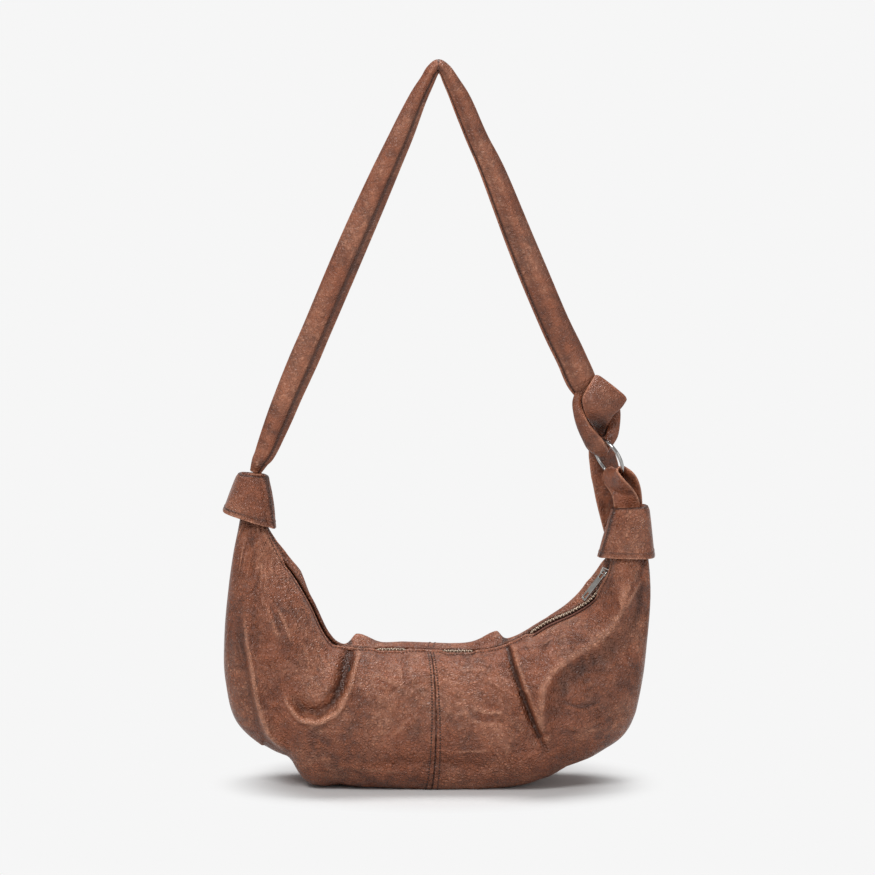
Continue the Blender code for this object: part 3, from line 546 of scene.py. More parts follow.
# Short wrinkles that cross the front: how far each rises, which also sets the strength of its painted highlight
# and shade, and its line
WRINKLES = (
    (-1.0, [(533, 737), (542, 733), (553, 729)]),
    (0.8, [(443, 751), (470, 750), (494, 750)]),
    (-0.9, [(465, 713), (483, 719), (499, 719), (513, 726)]),
    (0.9, [(470, 707), (488, 712), (506, 711)]),
    (0.9, [(514, 687), (520, 690), (528, 688)]),
    (1.0, [(646, 578), (637, 592), (624, 613)]),
    (1.0, [(617, 596), (622, 607), (619, 621)]),
    (0.9, [(372, 674), (388, 681), (402, 688)]),
    (0.9, [(388, 737), (401, 727), (412, 713)]),
    (-0.8, [(366, 731), (376, 722), (383, 708)]),
    (0.8, [(339, 767), (360, 770), (408, 774)]),
    (0.9, [(276, 606), (286, 626), (293, 646)]),
    (-0.9, [(266, 596), (276, 620), (283, 640)]),
    (0.7, [(302, 640), (308, 656), (310, 672)]),
    (-0.8, [(560, 700), (580, 706), (604, 700)]),
    (0.8, [(556, 722), (580, 728), (610, 716)]),
    (-0.8, [(398, 660), (404, 674), (406, 692)]),
    (0.7, [(448, 664), (462, 672), (482, 672)]),
)
# Where the gathers of the back's rim end below, where painted shade lies
GATHER_SHADE_SPOTS = ((349, 643), (505, 641))
# Where the front's rim sinks under the zip's line: first and last column, and depth
LIP_DIPS = ((284, 338, 0.0040), (376, 406, 0.0028), (443, 474, 0.0028), (530, 598, 0.0050))


def along_folds(x, z, rows):
    """The sum at this place of the bell-shaped swells and creases, or of the painted highlights and shade, that
    run along the folds.
    """
    places = {name: from_line(x, z, line) for name, line in FOLDS.items()}
    total = 0.0
    for fold, amount, middle, width, first, last, *extras in rows:
        start, over, loss = extras or (0.0, 0.0, 0.0)
        side, share, _ = places[fold]
        part = amount * bell(side - middle, width) * ends_fade(share, first, last)
        if over:
            part *= smooth((side - start) / over)
        total += part * (1.0 - loss * smooth(share / 0.7))
    return total


def front_relief(x, z):
    """The pleats and slack folds that the front shows."""
    return along_folds(x, z, SWELLS) + small_wrinkles(x, z)[0]


def small_wrinkles(x, z):
    """Rise of the short wrinkles that cross the front, and their tone: a painted highlight along each with
    painted shade beside it.
    """
    reach = 0.008
    rise = tone = 0.0
    for gain, line in WRINKLES:
        ends = seen_at(*line[0], front_depth), seen_at(*line[-1], front_depth)
        if not min(e.x for e in ends) - reach < x < max(e.x for e in ends) + reach:
            continue
        side, share, _ = from_line(x, z, line)
        fade = ends_fade(share, 0.25, 0.25)
        rise += 0.0013 * gain * bell(side, 0.0022) * fade
        tone += gain * (0.42 * bell(side, 0.0015) - 0.30 * bell(side - 0.0032, 0.0018)) * fade
    return rise, tone


def seam_x(z):
    """Where the centre seam runs at this height."""
    top, foot, _ = station(SEAM_STATION)
    share = min(1.0, max(0.0, (top.z - z) / (top.z - foot.z)))
    return top.x + (foot.x - top.x) * share + seam_bow * 2.0 * math.sqrt(share * (1.0 - share))


def front_painted_light_and_seam(x, z):
    """Painted highlights on ridges, painted shade in creases, broad painted light and shade, and the dark line
    of the centre seam.
    """
    tone = along_folds(x, z, FOLD_LIGHT_AND_SHADE) + small_wrinkles(x, z)[1]
    for column, row, radius, amount in BROAD_LIGHT_AND_SHADE:
        spot = seen_at(column, row, front_depth)
        tone += amount * bell(math.hypot(x - spot.x, z - spot.z), radius * pixel)
    return tone - 0.9 * bell(x - seam_x(z), 0.0010)


def back_painted_shade(x, z):
    """Painted shade at the foot of each gather of the back's rim."""
    tone = 0.0
    for column, row in GATHER_SHADE_SPOTS:
        spot = seen_at(column, row, rim_depth)
        tone -= 1.1 * bell(math.hypot((x - spot.x) * 1.3, z - spot.z), 0.0042)
    return tone


def slack(p, seed):
    """Small uneven swells and wrinkles of soft leather."""
    q = Vector((p.x * 22.0 + seed, p.y * 16.0, p.z * 22.0))
    broad = noise.noise(q)
    q = Vector((p.x * 60.0 + seed, p.y * 40.0 + 7.0, p.z * 95.0 + 12.0 * broad))
    narrow = noise.noise(q)
    return 0.0024 * broad + 0.0011 * (1.0 - 2.0 * abs(narrow))


def back_rise(s, x, phi):
    """How far the back's rim stands up over the zip: along the leather, and upright in its gathers."""
    i = min(LAST_STATION - 1, int(s))
    lip = bell(phi - 0.6, 0.38) * smooth(phi / 0.3)
    rise = shoulder_rise * (RISE_SHARES[i] + (RISE_SHARES[i + 1] - RISE_SHARES[i]) * (s - i))
    gather = 0.0
    for share, left, right, height in PUCKERS:
        away = x - share * bag_width
        gather += height * bell(away, left if away < 0 else right)
    return rise * lip, gather * lip


def front_dip(x, phi):
    """How far the front's rim sinks under the zip's line."""
    column = column_of(x)
    dip = sum(
        depth * smooth((column - first) / 9.0 + 0.5) * smooth((last - column) / 9.0 + 0.5)
        for first, last, depth in LIP_DIPS
    )
    return dip * max(0.0, 1.0 - phi / 0.8)


def body_point(s, phi, side, wrinkled=True):
    """A point of the front (side -1) or back (side 1) leather; phi runs from the zip, 0, to the seam, pi."""
    top, foot, half = station(s)
    down = (foot - top).normalized()
    w = (foot - top).length * (1 - math.cos(phi)) / 2
    if side < 0:
        w += front_dip(top.x, phi)
    power = 1.0 - 0.38 * smooth(phi / math.pi)
    bulge = max(0.0, math.sin(phi)) ** power * (1 - 0.20 * math.cos(phi)) / 1.02
    edge = zip_half_opening + (seam_half_gap - zip_half_opening) * phi / math.pi
    u = edge + (half - zip_half_opening) * bulge
    x, z = top.x + down.x * w, top.z + down.z * w
    rim = smooth(phi / 0.30) * smooth((math.pi - phi) / 0.5)
    pressed = 1.0 - smooth(z / 0.012)
    if side < 0:
        u += front_relief(x, z) * smooth(phi / 0.12) * smooth((math.pi - phi) / 0.6)
    if wrinkled:
        u += slack(Vector((x, side * u, z)), 3.0 * side) * rim
    from_seam = s - SEAM_STATION
    u += (0.0004 * bell(abs(from_seam) - seam_stitch_offset, 0.05) - 0.0005 * bell(from_seam, 0.026)) * rim
    x += seam_bow * math.sin(phi) * bell(from_seam, 1.5)
    if side > 0:
        lift, gather = back_rise(s, x, phi)
        x, z = x - down.x * lift, z - down.z * lift + gather
    hang = float(np.interp(column_of(x), *zip(*HANG), left=0.0, right=0.0)) * pixel
    z = max(0.0, z - hang * smooth((phi / math.pi - 0.45) / 0.5) * smooth((0.14 - z) / 0.03))
    if z < 0.010:
        z = max(0.0, z - floor_press * pressed)
    return Vector((x, side * u, z))


def make_panels(material):
    for side, face in ((-1, "front"), (1, "back")):
        for half, end, steps in (("left", 0.0, 190), ("right", LAST_STATION, 210)):
            nudge = seam_half_gap if half == "right" else -seam_half_gap

            def place(u, v, end=end, side=side, nudge=nudge):
                away = u if end > SEAM_STATION else 1.0 - u
                s = SEAM_STATION + (end - SEAM_STATION) * away**1.3
                near = bell(s - SEAM_STATION, 0.02)
                return body_point(s, math.pi * v, side) + Vector((nudge * near, 0.0, 0.0))

            obj = grid_piece(f"{face}_leather_{half}", steps, 120, place)
            if obj.data.polygons[len(obj.data.polygons) // 2].normal.y * side < 0:
                obj.data.flip_normals()
            # Painted light and shade on the front, painted shade at the foot of the back's gathers
            mark_wear_and_shading(obj, 1.0, 4, front_painted_light_and_seam if side < 0 else back_painted_shade)
            finish_with(obj, "SOLIDIFY", thickness=leather_wall, offset=-1.0)
            dress(obj, material, "bag", (f"{face}_panel_{half}",))


# Swept leather


CAP_STEPS = 4


def capped(u, count):
    """A ring of a tube with round caps, at share u: its size, how far past the end, and its place along."""
    total = count + 2 * CAP_STEPS
    i = u * total
    if i < CAP_STEPS:
        angle, where = (1.0 - i / CAP_STEPS) * math.pi / 2, 0.0
    elif i > total - CAP_STEPS:
        angle, where = (i - total + CAP_STEPS) / CAP_STEPS * math.pi / 2, 1.0
    else:
        angle, where = 0.0, (i - CAP_STEPS) / count
    return math.cos(angle), math.sin(angle) * (1.0 if where > 0.5 else -1.0), where


def sweep_piece(name, count, around, path, section):
    """A closed tube: path(u) gives centre, width direction and half sizes; section gives its outline."""

    def place(u, v):
        thin, out, where = capped(u, count)
        centre, wide, half_w, half_t = path(where)
        tiny = 0.004
        a, b = path(max(0.0, where - tiny))[0], path(min(1.0, where + tiny))[0]
        run = (b - a).normalized()
        wide = (wide - run * wide.dot(run)).normalized()
        thick = run.cross(wide)
        tip = centre + run * out * half_t
        if thin < 1.0e-6:
            return tip
        p, q = section(2.0 * math.pi * v, where)
        half = max(0.0, half_w - half_t * (1.0 - thin))
        return tip + wide * half * p + thick * half_t * thin * q

    return grid_piece(name, count + 2 * CAP_STEPS, around, place, weld=True)


def squircle(a, square):
    """A unit circle drawn towards a square; a power of 2 leaves it round."""
    c, s = math.cos(a), math.sin(a)
    return math.copysign(abs(c) ** (2 / square), c), math.copysign(abs(s) ** (2 / square), s)


def layer_edge(where):
    """Where across the strap the folded layer ends: near its middle at first, near its rim past the top."""
    return 0.50 + 0.28 * smooth((where - 0.52) / 0.05)


def folded_section(a, where):
    """A tube pressed flat: a full front face and, along one side, the edge of the layer under it."""
    p, q = squircle(a, 2.2)
    if q < 0.0:
        edge = layer_edge(where)
        q *= 1.0 - 0.58 * smooth((p - edge + 0.08) / 0.07)
        q += 0.40 * bell(p - edge, 0.06)
        q -= 0.30 * bell(p + 0.15, 0.42)
    else:
        q *= 1.0 - 0.20 * bell(p, 0.4)
    return p, q


# The strap from the left horn to the knot: x, z and width as shares of the bag's width, its height and the
# strap's width
STRAP_SHARES = [
    (-0.4255, 0.4312, 0.40),
    (-0.415, 0.4450, 0.57),
    (-0.402, 0.458, 0.70),
    (-0.379, 0.491, 0.83),
    (-0.345, 0.540, 0.93),
    (-0.308, 0.590, 0.97),
    (-0.272, 0.639, 0.97),
    (-0.200, 0.738, 0.98),
    (-0.1255, 0.837, 0.88),
    (-0.0875, 0.886, 0.78),
    (-0.0500, 0.936, 0.62),
    (-0.0265, 0.962, 0.50),
    (-0.0140, 0.9760, 0.45),
    (0.000, 0.9835, 0.40),
    (0.0150, 0.9765, 0.45),
    (0.029, 0.962, 0.54),
    (0.052, 0.936, 0.67),
    (0.088, 0.886, 0.73),
    (0.127, 0.837, 0.83),
    (0.194, 0.738, 0.97),
    (0.265, 0.639, 1.00),
    (0.305, 0.590, 1.00),
    (0.331, 0.556, 1.00),
    (0.352, 0.534, 0.80),
]
# The painted shade of the crease in the strap's top bend: its half width and the height of its foot
top_crease_shade = 0.0009
top_crease_shade_foot = 0.706


def strap_path(u):
    s = (len(STRAP_SHARES) - 1) * u
    x, z, wide = through(STRAP_SHARES, s)
    centre = Vector((x * bag_width, 0.004 * smooth((u - 0.95) / 0.04), z * overall_height))
    tiny = 0.05
    a, b = through(STRAP_SHARES, s - tiny), through(STRAP_SHARES, s + tiny)
    run = Vector(((b[0] - a[0]) * bag_width, 0.0, (b[1] - a[1]) * overall_height)).normalized()
    waver = noise.noise(Vector((u * 26.0, 3.0, 1.0)))
    half_w = wide * strap_width / 2 * (1.0 + 0.025 * waver)
    swell = (1.0 + 0.10 * noise.noise(Vector((u * 34.0, 9.0, 4.0)))) * (0.45 + 0.55 * smooth(u / 0.035))
    return centre, DEPTH.cross(run), half_w, strap_thickness / 2 * swell


def strap_painted_light():
    """Painted shade along the strap's fold, over the layer beside it, in the crease at its top and towards its
    outer edge, a painted highlight along the middle of its round face, and a darker colour overall, more so
    past the top.
    """
    steps = 400
    samples = [strap_path(i / steps) for i in range(steps + 1)]
    centres = np.array([(centre.x, centre.z) for centre, _, _, _ in samples])

    def painted(x, z):
        i = int(np.argmin((centres[:, 0] - x) ** 2 + (centres[:, 1] - z) ** 2))
        centre, wide, half_w, _ = samples[i]
        p = ((x - centre.x) * wide.x + (z - centre.z) * wide.z) / half_w
        edge = layer_edge(i / steps) + 0.02
        past_top = smooth((i / steps - 0.52) / 0.05)
        tone = 0.30 * bell(p + 0.25, 0.24) - 0.18 - 0.22 * past_top
        tone -= (0.95 - 0.25 * past_top) * bell(p - edge, 0.07)
        tone -= 0.8 * bell(x, top_crease_shade) * smooth((z - top_crease_shade_foot) / 0.004)
        return tone - 0.45 * smooth((p - edge) / 0.1) - 0.35 * smooth((-0.72 - p) / 0.2)

    return painted


def knot_painted_light(table, side, gain):
    """A painted highlight along one drawn edge of a wrap of the knot, painted shade in the hollow between the
    wraps, and a darker colour overall.
    """
    line = [row[:2] if side < 0 else row[3:5] for row in table]
    depth = sum(row[2] for row in table) / len(table)

    def painted(x, z):
        tone = gain * bell(from_line(x, z, line, depth)[2], 0.0013) - 0.46
        hollow = seen_at(*KNOT_SHADE_SPOT, depth)
        return tone - 1.2 * bell(math.hypot(x - hollow.x, (z - hollow.z) * 0.8), 0.0062)

    return painted


def band_piece(name, count, around, middle, half_t):
    """A closed thick band round the surface middle(u, p), p from -1 to 1 across; half_t gives half its wall."""

    def place(u, v):
        thin, out, where = capped(u, count)
        p, q = squircle(2.0 * math.pi * v, 2.5)
        if thin < 1.0e-6:
            p = q = 0.0
        tiny = 0.01
        along = middle(min(1.0, where + tiny), p) - middle(max(0.0, where - tiny), p)
        wide = middle(where, min(1.0, p + tiny)) - middle(where, max(-1.0, p - tiny))
        normal = along.cross(wide).normalized()
        thick = half_t(where)
        narrowed = p * (1.0 - (1.0 - thin) * 0.35)
        return middle(where, narrowed) + along.normalized() * out * thick + normal * q * thick * thin

    return grid_piece(name, count + 2 * CAP_STEPS, around, place, weld=True)


def edged_band(table):
    """A surface between two drawn edges: column, row and depth of each, and how far it swells forward."""

    def middle(u, p):
        row = through(table, (len(table) - 1) * u)
        left, right = seen_at(*row[:3]), seen_at(*row[3:6])
        place = left.lerp(right, (p + 1.0) / 2.0)
        return place - DEPTH * row[6] * (1.0 - p * p)

    return middle


# The wraps of the knot: column, row and depth of their left and right edges, and how far they swell forward
KNOT_FRONT = [
    (594, 376, -0.004, 626, 401, -0.003, 0.000),
    (588, 386, -0.011, 621, 408, -0.008, 0.002),
    (582, 398, -0.014, 613, 415, -0.011, 0.004),
    (584, 411, -0.013, 609, 422, -0.009, 0.001),
    (589, 421, -0.006, 606, 428, -0.003, -0.003),
    (595, 429, 0.002, 604, 433, 0.004, 0.000),
]
KNOT_LEFT = [
    (576, 390, 0.006, 584, 394, 0.004, 0.000),
    (573, 402, 0.001, 581, 403, -0.003, 0.001),
    (574, 414, -0.003, 584, 413, -0.009, 0.001),
    (577, 426, -0.005, 589, 424, -0.013, 0.001),
    (582, 438, -0.006, 597, 433, -0.014, 0.002),
    (588, 449, -0.005, 605, 443, -0.011, 0.002),
    (598, 455, 0.000, 608, 449, -0.004, 0.001),
]
KNOT_RIGHT = [
    (606, 396, 0.008, 619, 402, 0.007, 0.000),
    (608, 410, 0.007, 620.5, 412, 0.005, 0.001),
    (609, 423, 0.003, 620, 424, 0.001, 0.001),
    (606, 436, 0.000, 617.5, 437, -0.002, 0.001),
    (603, 446, 0.000, 611, 448, -0.002, 0.000),
]
KNOT_BACK = [
    (578, 386, 0.007, 612, 396, 0.008, 0.000),
    (578, 402, 0.009, 614, 410, 0.011, -0.003),
    (588, 424, 0.011, 612, 428, 0.009, -0.003),
    (594, 438, 0.006, 608, 442, 0.005, 0.000),
]


# Column and row of the hollow between the wraps, where painted shade lies
KNOT_SHADE_SPOT = (600, 427)
# Each wrap: name, edges, half thickness, the side with the painted highlight along its edge, and how bright
# that highlight is
WRAPS = (
    ("knot_front", KNOT_FRONT, 0.0040, -1, 0.60),
    ("knot_left", KNOT_LEFT, 0.0036, 1, 1.0),
    ("knot_right", KNOT_RIGHT, 0.0032, -1, 0.35),
    ("knot_back", KNOT_BACK, 0.0038, 1, 0.0),
)


def make_strap(material):
    strap = sweep_piece("strap_leather", 420, 44, strap_path, folded_section)
    pieces = [(strap, "strap", strap_painted_light())]
    for name, table, half_t, side, gain in WRAPS:
        band = band_piece(name, 60, 44, edged_band(table), lambda where, half_t=half_t: half_t)
        pieces.append((band, "strap_knot", knot_painted_light(table, side, gain)))
    # Painted highlights and shade go onto the strap and each wrap along with their wear
    for piece, node, painted in pieces:
        mark_wear_and_shading(piece, 0.8, 2, painted)
        dress(piece, material, "strap", (node,))


# The tail: row, its left and right columns, and depth
TAIL_EDGES = [
    (422, 583, 602, 0.0072),
    (432, 586, 604, 0.0126),
    (441, 588, 607, 0.0204),
    (453, 589, 615, 0.0240),
    (476, 592, 621, 0.0246),
    (500, 597, 616, 0.0246),
    (531, 605, 621, 0.0240),
]


def make_tail(material):
    def path(u):
        row, left, right, y = through(TAIL_EDGES, (len(TAIL_EDGES) - 1) * u)
        centre = seen_at((left + right) / 2, row, y)
        return centre, Vector((1.0, 0.35, 0.0)), (right - left) / 2 * pixel * 1.06, 0.00225

    tail = sweep_piece("tail_leather", 80, 32, path, lambda a, where: squircle(a, 2.6))
    mark_wear_and_shading(tail, 0.6, 2)
    dress(tail, material, nodes=("strap_tail",))
    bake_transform(tail)


def copy_of(node, name, join_flat=False):
    """A copy of a solid with its loose triangles merged and, if asked, its flat faces joined."""
    obj = new_object(name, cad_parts[node].data.copy())
    bm = bmesh.new()
    bm.from_mesh(obj.data)
    bmesh.ops.remove_doubles(bm, verts=bm.verts, dist=1.0e-6)
    if join_flat:
        bmesh.ops.dissolve_limit(bm, angle_limit=math.radians(1.0), verts=bm.verts, edges=bm.edges)
    bm.to_mesh(obj.data)
    bm.free()
    return obj


def metal_copy(node, name, body, material):
    """The solid's own form with its edges eased."""
    obj = copy_of(node, name, join_flat=True)
    finish_with(obj, "BEVEL", width=0.00025, segments=3, limit_method="ANGLE", angle_limit=math.radians(35.0))
    for polygon in obj.data.polygons:
        polygon.use_smooth = True
    obj.data.set_sharp_from_angle(angle=math.radians(40.0))
    dress(obj, material, body, (node,))


def leather_copy(node, material):
    """The solid's own form, rounded off and closely meshed for leather."""
    obj = copy_of(node, f"{node}_leather")
    finish_with(obj, "REMESH", mode="VOXEL", voxel_size=0.0007, use_smooth_shade=True)
    finish_with(obj, "SMOOTH", factor=0.6, iterations=8)
    mark_wear_and_shading(obj, 0.6, 3)
    dress(obj, material, "bag", (node,))


# The ring and its loop

ring_radius = 0.021
ring_wire_radius = 0.0018
ring_lean, ring_turn = math.radians(61.3), math.radians(60.0)
ring_centre = Vector((0.3955 * bag_width, 0.0, 0.4495 * overall_height))
ring_down = Vector((math.cos(ring_lean), 0.0, -math.sin(ring_lean)))
ring_level = Vector((math.sin(ring_lean), 0.0, math.cos(ring_lean)))
ring_across = ring_level * math.cos(ring_turn) + Vector((0.0, -math.sin(ring_turn), 0.0))
ring_axis = ring_down.cross(ring_across)
loop_foot = Vector((0.443 * bag_width, 0.0, 0.389 * overall_height))
loop_half_thickness = 0.0026
loop_clearance = 0.0009
loop_wrap_angle = math.radians(95.0)
loop_half_arc = 0.80


def make_ring(material):
    bpy.ops.object.select_all(action="DESELECT")
    bpy.ops.mesh.primitive_torus_add(
        major_radius=ring_radius, minor_radius=ring_wire_radius, major_segments=128, minor_segments=20
    )
    ring = bpy.context.object
    ring.name = "ring_metal"
    turned = Matrix((ring_down, ring_across, ring_axis)).transposed().to_4x4()
    ring.data.transform(Matrix.Translation(ring_centre) @ turned)
    bpy.ops.object.shade_smooth()
    dress(ring, material, "ring", ("ring",))


def loop_middle(u, p):
    """The loop's middle surface: up the front leg, round the ring's wire and down the back leg."""
    arc = p * loop_half_arc - 0.10
    radial = ring_down * math.cos(arc) + ring_across * math.sin(arc)
    wire = ring_centre + radial * ring_radius
    out = ring_wire_radius + loop_clearance + loop_half_thickness
    first, last = 0.40, 0.60

    def on_wire(angle):
        return wire + (ring_axis * math.sin(angle) - radial * math.cos(angle)) * out

    if first <= u <= last:
        return on_wire(loop_wrap_angle * (1.0 - 2.0 * (u - first) / (last - first)))
    front = u < first
    k = u / first if front else (1.0 - u) / (1.0 - last)
    t = 1.0 - k
    sign = 1.0 if front else -1.0
    half, shift = (0.0132, -0.0018) if front else (0.0105, 0.0035)
    start = on_wire(loop_wrap_angle * sign)
    foot = loop_foot + Vector((p * half + shift, -0.0024 * sign, -0.0060 - 0.09 * p * half))
    a = start + radial * 0.014 + ring_axis * sign * 0.004
    b = foot + Vector((0.0, -0.002 * sign, 0.020))
    return start * k**3 + a * 3 * k * k * t + b * 3 * k * t * t + foot * t**3


def make_loop(material):
    def half_t(where):
        return loop_half_thickness * (0.45 + 0.55 * smooth(min(where, 1.0 - where) / 0.12))

    loop = band_piece("loop_leather", 150, 44, loop_middle, half_t)
    mark_wear_and_shading(loop, 0.7, 2)
    dress(loop, material, "strap", ("ring_loop",))


# The cuffs

# Each cuff, every pair from its mouth to its hem: middles as shares of the bag's width, leans, half widths
# and places of its fold in degrees; then its yaw, the side to which the fold falls and the seed of its swells
CUFFS = (
    {
        "face": "left", "shares": ((-0.4307, 0.7262), (-0.4407, 0.6247)), "leans": (-5.0, -18.0),
        "halves": (0.0138, 0.0263), "fold": (306.0, 322.0), "yaw": 12.0, "falls": 1.0, "seed": 2.0,
    },
    {
        "face": "right", "shares": ((0.4453, 0.6512), (0.4384, 0.5372)), "leans": (3.0, -1.0),
        "halves": (0.0170, 0.0270), "fold": (232.0, 222.0), "yaw": -12.0, "falls": -1.0, "seed": 8.0,
    },
)
CUFF_DEPTHS = (0.0112, 0.0200)
# The rolled mouth: how far above the cuff's end, and its width and depth as shares of that end
MOUTH_ROLL = ((-0.0090, 0.72, 0.70), (-0.0040, 0.82, 0.80), (-0.0008, 0.92, 0.90), (0.0, 0.97, 0.97))
MOUTH_PART = 0.12
cuff_wall = 0.0018
hem_inset = 0.0036


def cuff_outline(angle, half_w, half_d, lean, yaw):
    c, s = math.cos(angle), math.sin(angle)
    p = half_w * math.copysign(abs(c) ** 0.58, c)
    q = half_d * math.copysign(abs(s) ** 0.62, s)
    wide = p * math.cos(yaw) - q * math.sin(yaw) * 0.6
    deep = q * math.cos(yaw) + p * math.sin(yaw) * 0.3
    return Vector((wide * math.cos(lean), deep, wide * math.sin(lean)))


def between_ends(ends, share):
    return ends[0] + (ends[1] - ends[0]) * share


def make_cuff(material, face, shares, leans, halves, fold, yaw, falls, seed):
    """A collar turned down over the horn: rolled mouth, flared side and a turned hem."""
    top, hem = (Vector((x * bag_width, 0.0, z * bag_width)) for x, z in shares)
    leans, fold = ([math.radians(degrees) for degrees in pair] for pair in (leans, fold))
    up, length = (top - hem).normalized(), (top - hem).length

    def place(u, v):
        angle = 2.0 * math.pi * v
        if u < MOUTH_PART:
            drop, wide, deep = through(MOUTH_ROLL, u / MOUTH_PART * (len(MOUTH_ROLL) - 1))
            f, base, half_w, half_d = 0.0, top + up * drop, halves[0] * wide, CUFF_DEPTHS[0] * deep
        else:
            f = (u - MOUTH_PART) / (1.0 - MOUTH_PART)
            base = top.lerp(hem, f)
            half_w, half_d = between_ends(halves, f**0.85), between_ends(CUFF_DEPTHS, f**0.85)
        point = base + cuff_outline(angle, half_w, half_d, between_ends(leans, f), math.radians(yaw))
        swell = 0.0011 * noise.noise(Vector((point.x * 55.0 + seed, point.y * 55.0, point.z * 34.0)))
        swell *= smooth(f / 0.1)
        hem_from = length * (1.0 - f)
        swell += 0.0005 * smooth((0.0062 - hem_from) / 0.0006)
        swell -= 0.0004 * bell(hem_from - hem_inset, 0.0007)
        away = angle - between_ends(fold, f)
        swell += 0.0016 * bell(away, 0.10) - 0.0012 * bell(away + falls * 0.30, 0.16)
        return point + (point - base).normalized() * swell

    hem_share = 1.0 - (1.0 - MOUTH_PART) * hem_inset / length
    points = [place(hem_share, i / 400) for i in range(401)]
    seam_frames = stitch_frames(points, [(p - hem).normalized() for p in points])
    obj = grid_piece(f"{face}_cuff_leather", 110, 150, place, weld=True)
    middle = obj.data.polygons[len(obj.data.polygons) // 2]
    if middle.normal.dot(middle.center - top.lerp(hem, 0.5)) < 0:
        obj.data.flip_normals()
    mouth_up, hem_up = (Vector((-math.sin(lean), 0.0, math.cos(lean))) for lean in leans)

    def rubbed_rims(x, z):
        at = Vector((x, 0.0, z))
        return 0.70 * bell((at - hem).dot(hem_up), 0.0014) + 0.50 * bell((at - top).dot(mouth_up), 0.0016)

    mark_wear_and_shading(obj, 0.8, 3, rubbed_rims)
    finish_with(obj, "SOLIDIFY", thickness=cuff_wall, offset=-1.0)
    finish_with(obj, "BEVEL", width=0.0004, segments=2, limit_method="ANGLE", angle_limit=math.radians(60.0))
    dress(obj, material, "bag", (f"{face}_cuff",))
    return seam_frames


# The lining, the zip's rolled edges and teeth, and the stitching


def make_lining(material):
    for side, face in ((-1, "front"), (1, "back")):

        def place(u, v, side=side):
            s = LINING_START + LINING_REACH * u
            phi = math.pi * (lining_rim_share + (1.0 - lining_rim_share) * v)
            p = body_point(s, phi, side, wrinkled=False)
            top, foot, _ = station(s)
            middle = top.lerp(foot, 0.5)
            return p + Vector((middle.x - p.x, -p.y, middle.z - p.z)).normalized() * lining_inset

        obj = grid_piece(f"{face}_lining_cloth", 150, 60, place)
        finish_with(obj, "SOLIDIFY", thickness=0.0006, offset=0.0)
        dress(obj, material, "bag", (f"lining_{face}",))


def zip_line():
    """Length run along the zip, and station, at close steps."""
    steps = 600
    out, length = [], 0.0
    before = station(ZIP_FIRST)[0]
    for i in range(steps + 1):
        s = ZIP_FIRST + (ZIP_LAST - ZIP_FIRST) * i / steps
        here = station(s)[0]
        length += (here - before).length
        out.append((length, s))
        before = here
    return out


ZIP_LINE = zip_line()
slider_half_length = 0.006


def zip_frame(length):
    """The zip's place, its direction to the right and its direction into the bag."""
    lengths = [row[0] for row in ZIP_LINE]
    i = min(len(ZIP_LINE) - 2, max(0, int(np.searchsorted(lengths, length)) - 1))
    (l0, s0), (l1, s1) = ZIP_LINE[i], ZIP_LINE[i + 1]
    s = s0 + (s1 - s0) * (length - l0) / (l1 - l0)
    a, b = station(s - 0.02)[0], station(s + 0.02)[0]
    run = (b - a).normalized()
    return station(s)[0], run, Vector((run.z, 0.0, -run.x))


def placed(place, *axes):
    """The matrix that puts a pattern's own axes along these ones, at this place."""
    return Matrix.Translation(place) @ Matrix(axes).transposed().to_4x4()


def repeated(name, pattern, frames):
    """One mesh of many copies of a small pattern object, each placed by a matrix."""
    points = [v.co.copy() for v in pattern.data.vertices]
    faces = [tuple(p.vertices) for p in pattern.data.polygons]
    all_points, all_faces = [], []
    for matrix in frames:
        start = len(all_points)
        all_points += [matrix @ p for p in points]
        all_faces += [tuple(start + i for i in face) for face in faces]
    mesh = bpy.data.meshes.new(name)
    mesh.from_pydata(all_points, [], all_faces)
    mesh.shade_smooth()
    return new_object(name, mesh)


def small_pattern(kind, scale, **settings):
    """A little primitive, sized as a pattern for repeats."""
    bpy.ops.object.select_all(action="DESELECT")
    getattr(bpy.ops.mesh, kind)(**settings)
    obj = bpy.context.object
    obj.scale = scale
    bpy.ops.object.transform_apply(location=False, rotation=False, scale=True)
    return obj


# Columns of the picture between which the teeth stand up out of the tape
SHOWN_TEETH = ((374, 408), (440, 476), (528, 640))


def make_teeth(material):
    tooth = small_pattern("primitive_cube_add", (0.0015, 0.0042, 0.0026), size=1.0)
    finish_with(tooth, "BEVEL", width=0.00035, segments=2, limit_method="NONE")
    last = ZIP_LINE[-1][0] - slider_half_length - 0.003
    for side, face in ((-1, "front"), (1, "back")):
        frames = []
        length = 0.002 + (tooth_pitch / 2 if side > 0 else 0.0)
        while length < last:
            here, run, inward = zip_frame(length)
            column = column_of(here.x)
            shown = [smooth((column - low) / 4.0) * smooth((high - column) / 4.0) for low, high in SHOWN_TEETH]
            sink = 0.0008 + 0.0040 * (1.0 - max(shown))
            place = here + inward * sink + DEPTH * side * 0.0014
            frames.append(placed(place, run, DEPTH * side, -inward))
            length += tooth_pitch
        row = repeated(f"{face}_teeth_row", tooth, frames)
        dress(row, material, "bag", (f"zip_teeth_{face}",))
    bpy.data.objects.remove(tooth)


def in_shade(x, z):
    """Painted shade on the back's rolled edge, deep in the mouth."""
    return -0.75


def make_edge_rolls(material):
    """The folded edge of the leather along each side of the zip."""
    for side, face in ((-1, "front"), (1, "back")):

        def path(u, side=side):
            s = ROLL_START + ROLL_REACH * u
            edge = body_point(s, 0.0, side)
            inward = (body_point(s, 0.10, side) - edge).normalized()
            thin = 0.00145 * ends_fade(u, 0.03, 0.03) + 0.0003
            return edge + inward * 0.0006 + DEPTH * side * 0.0002, DEPTH, thin, thin

        roll = sweep_piece(f"{face}_edge_roll", 420, 14, path, lambda a, where: squircle(a, 2.0))
        mark_wear_and_shading(roll, 0.4, 2, in_shade if side > 0 else None)
        dress(roll, material, "bag")


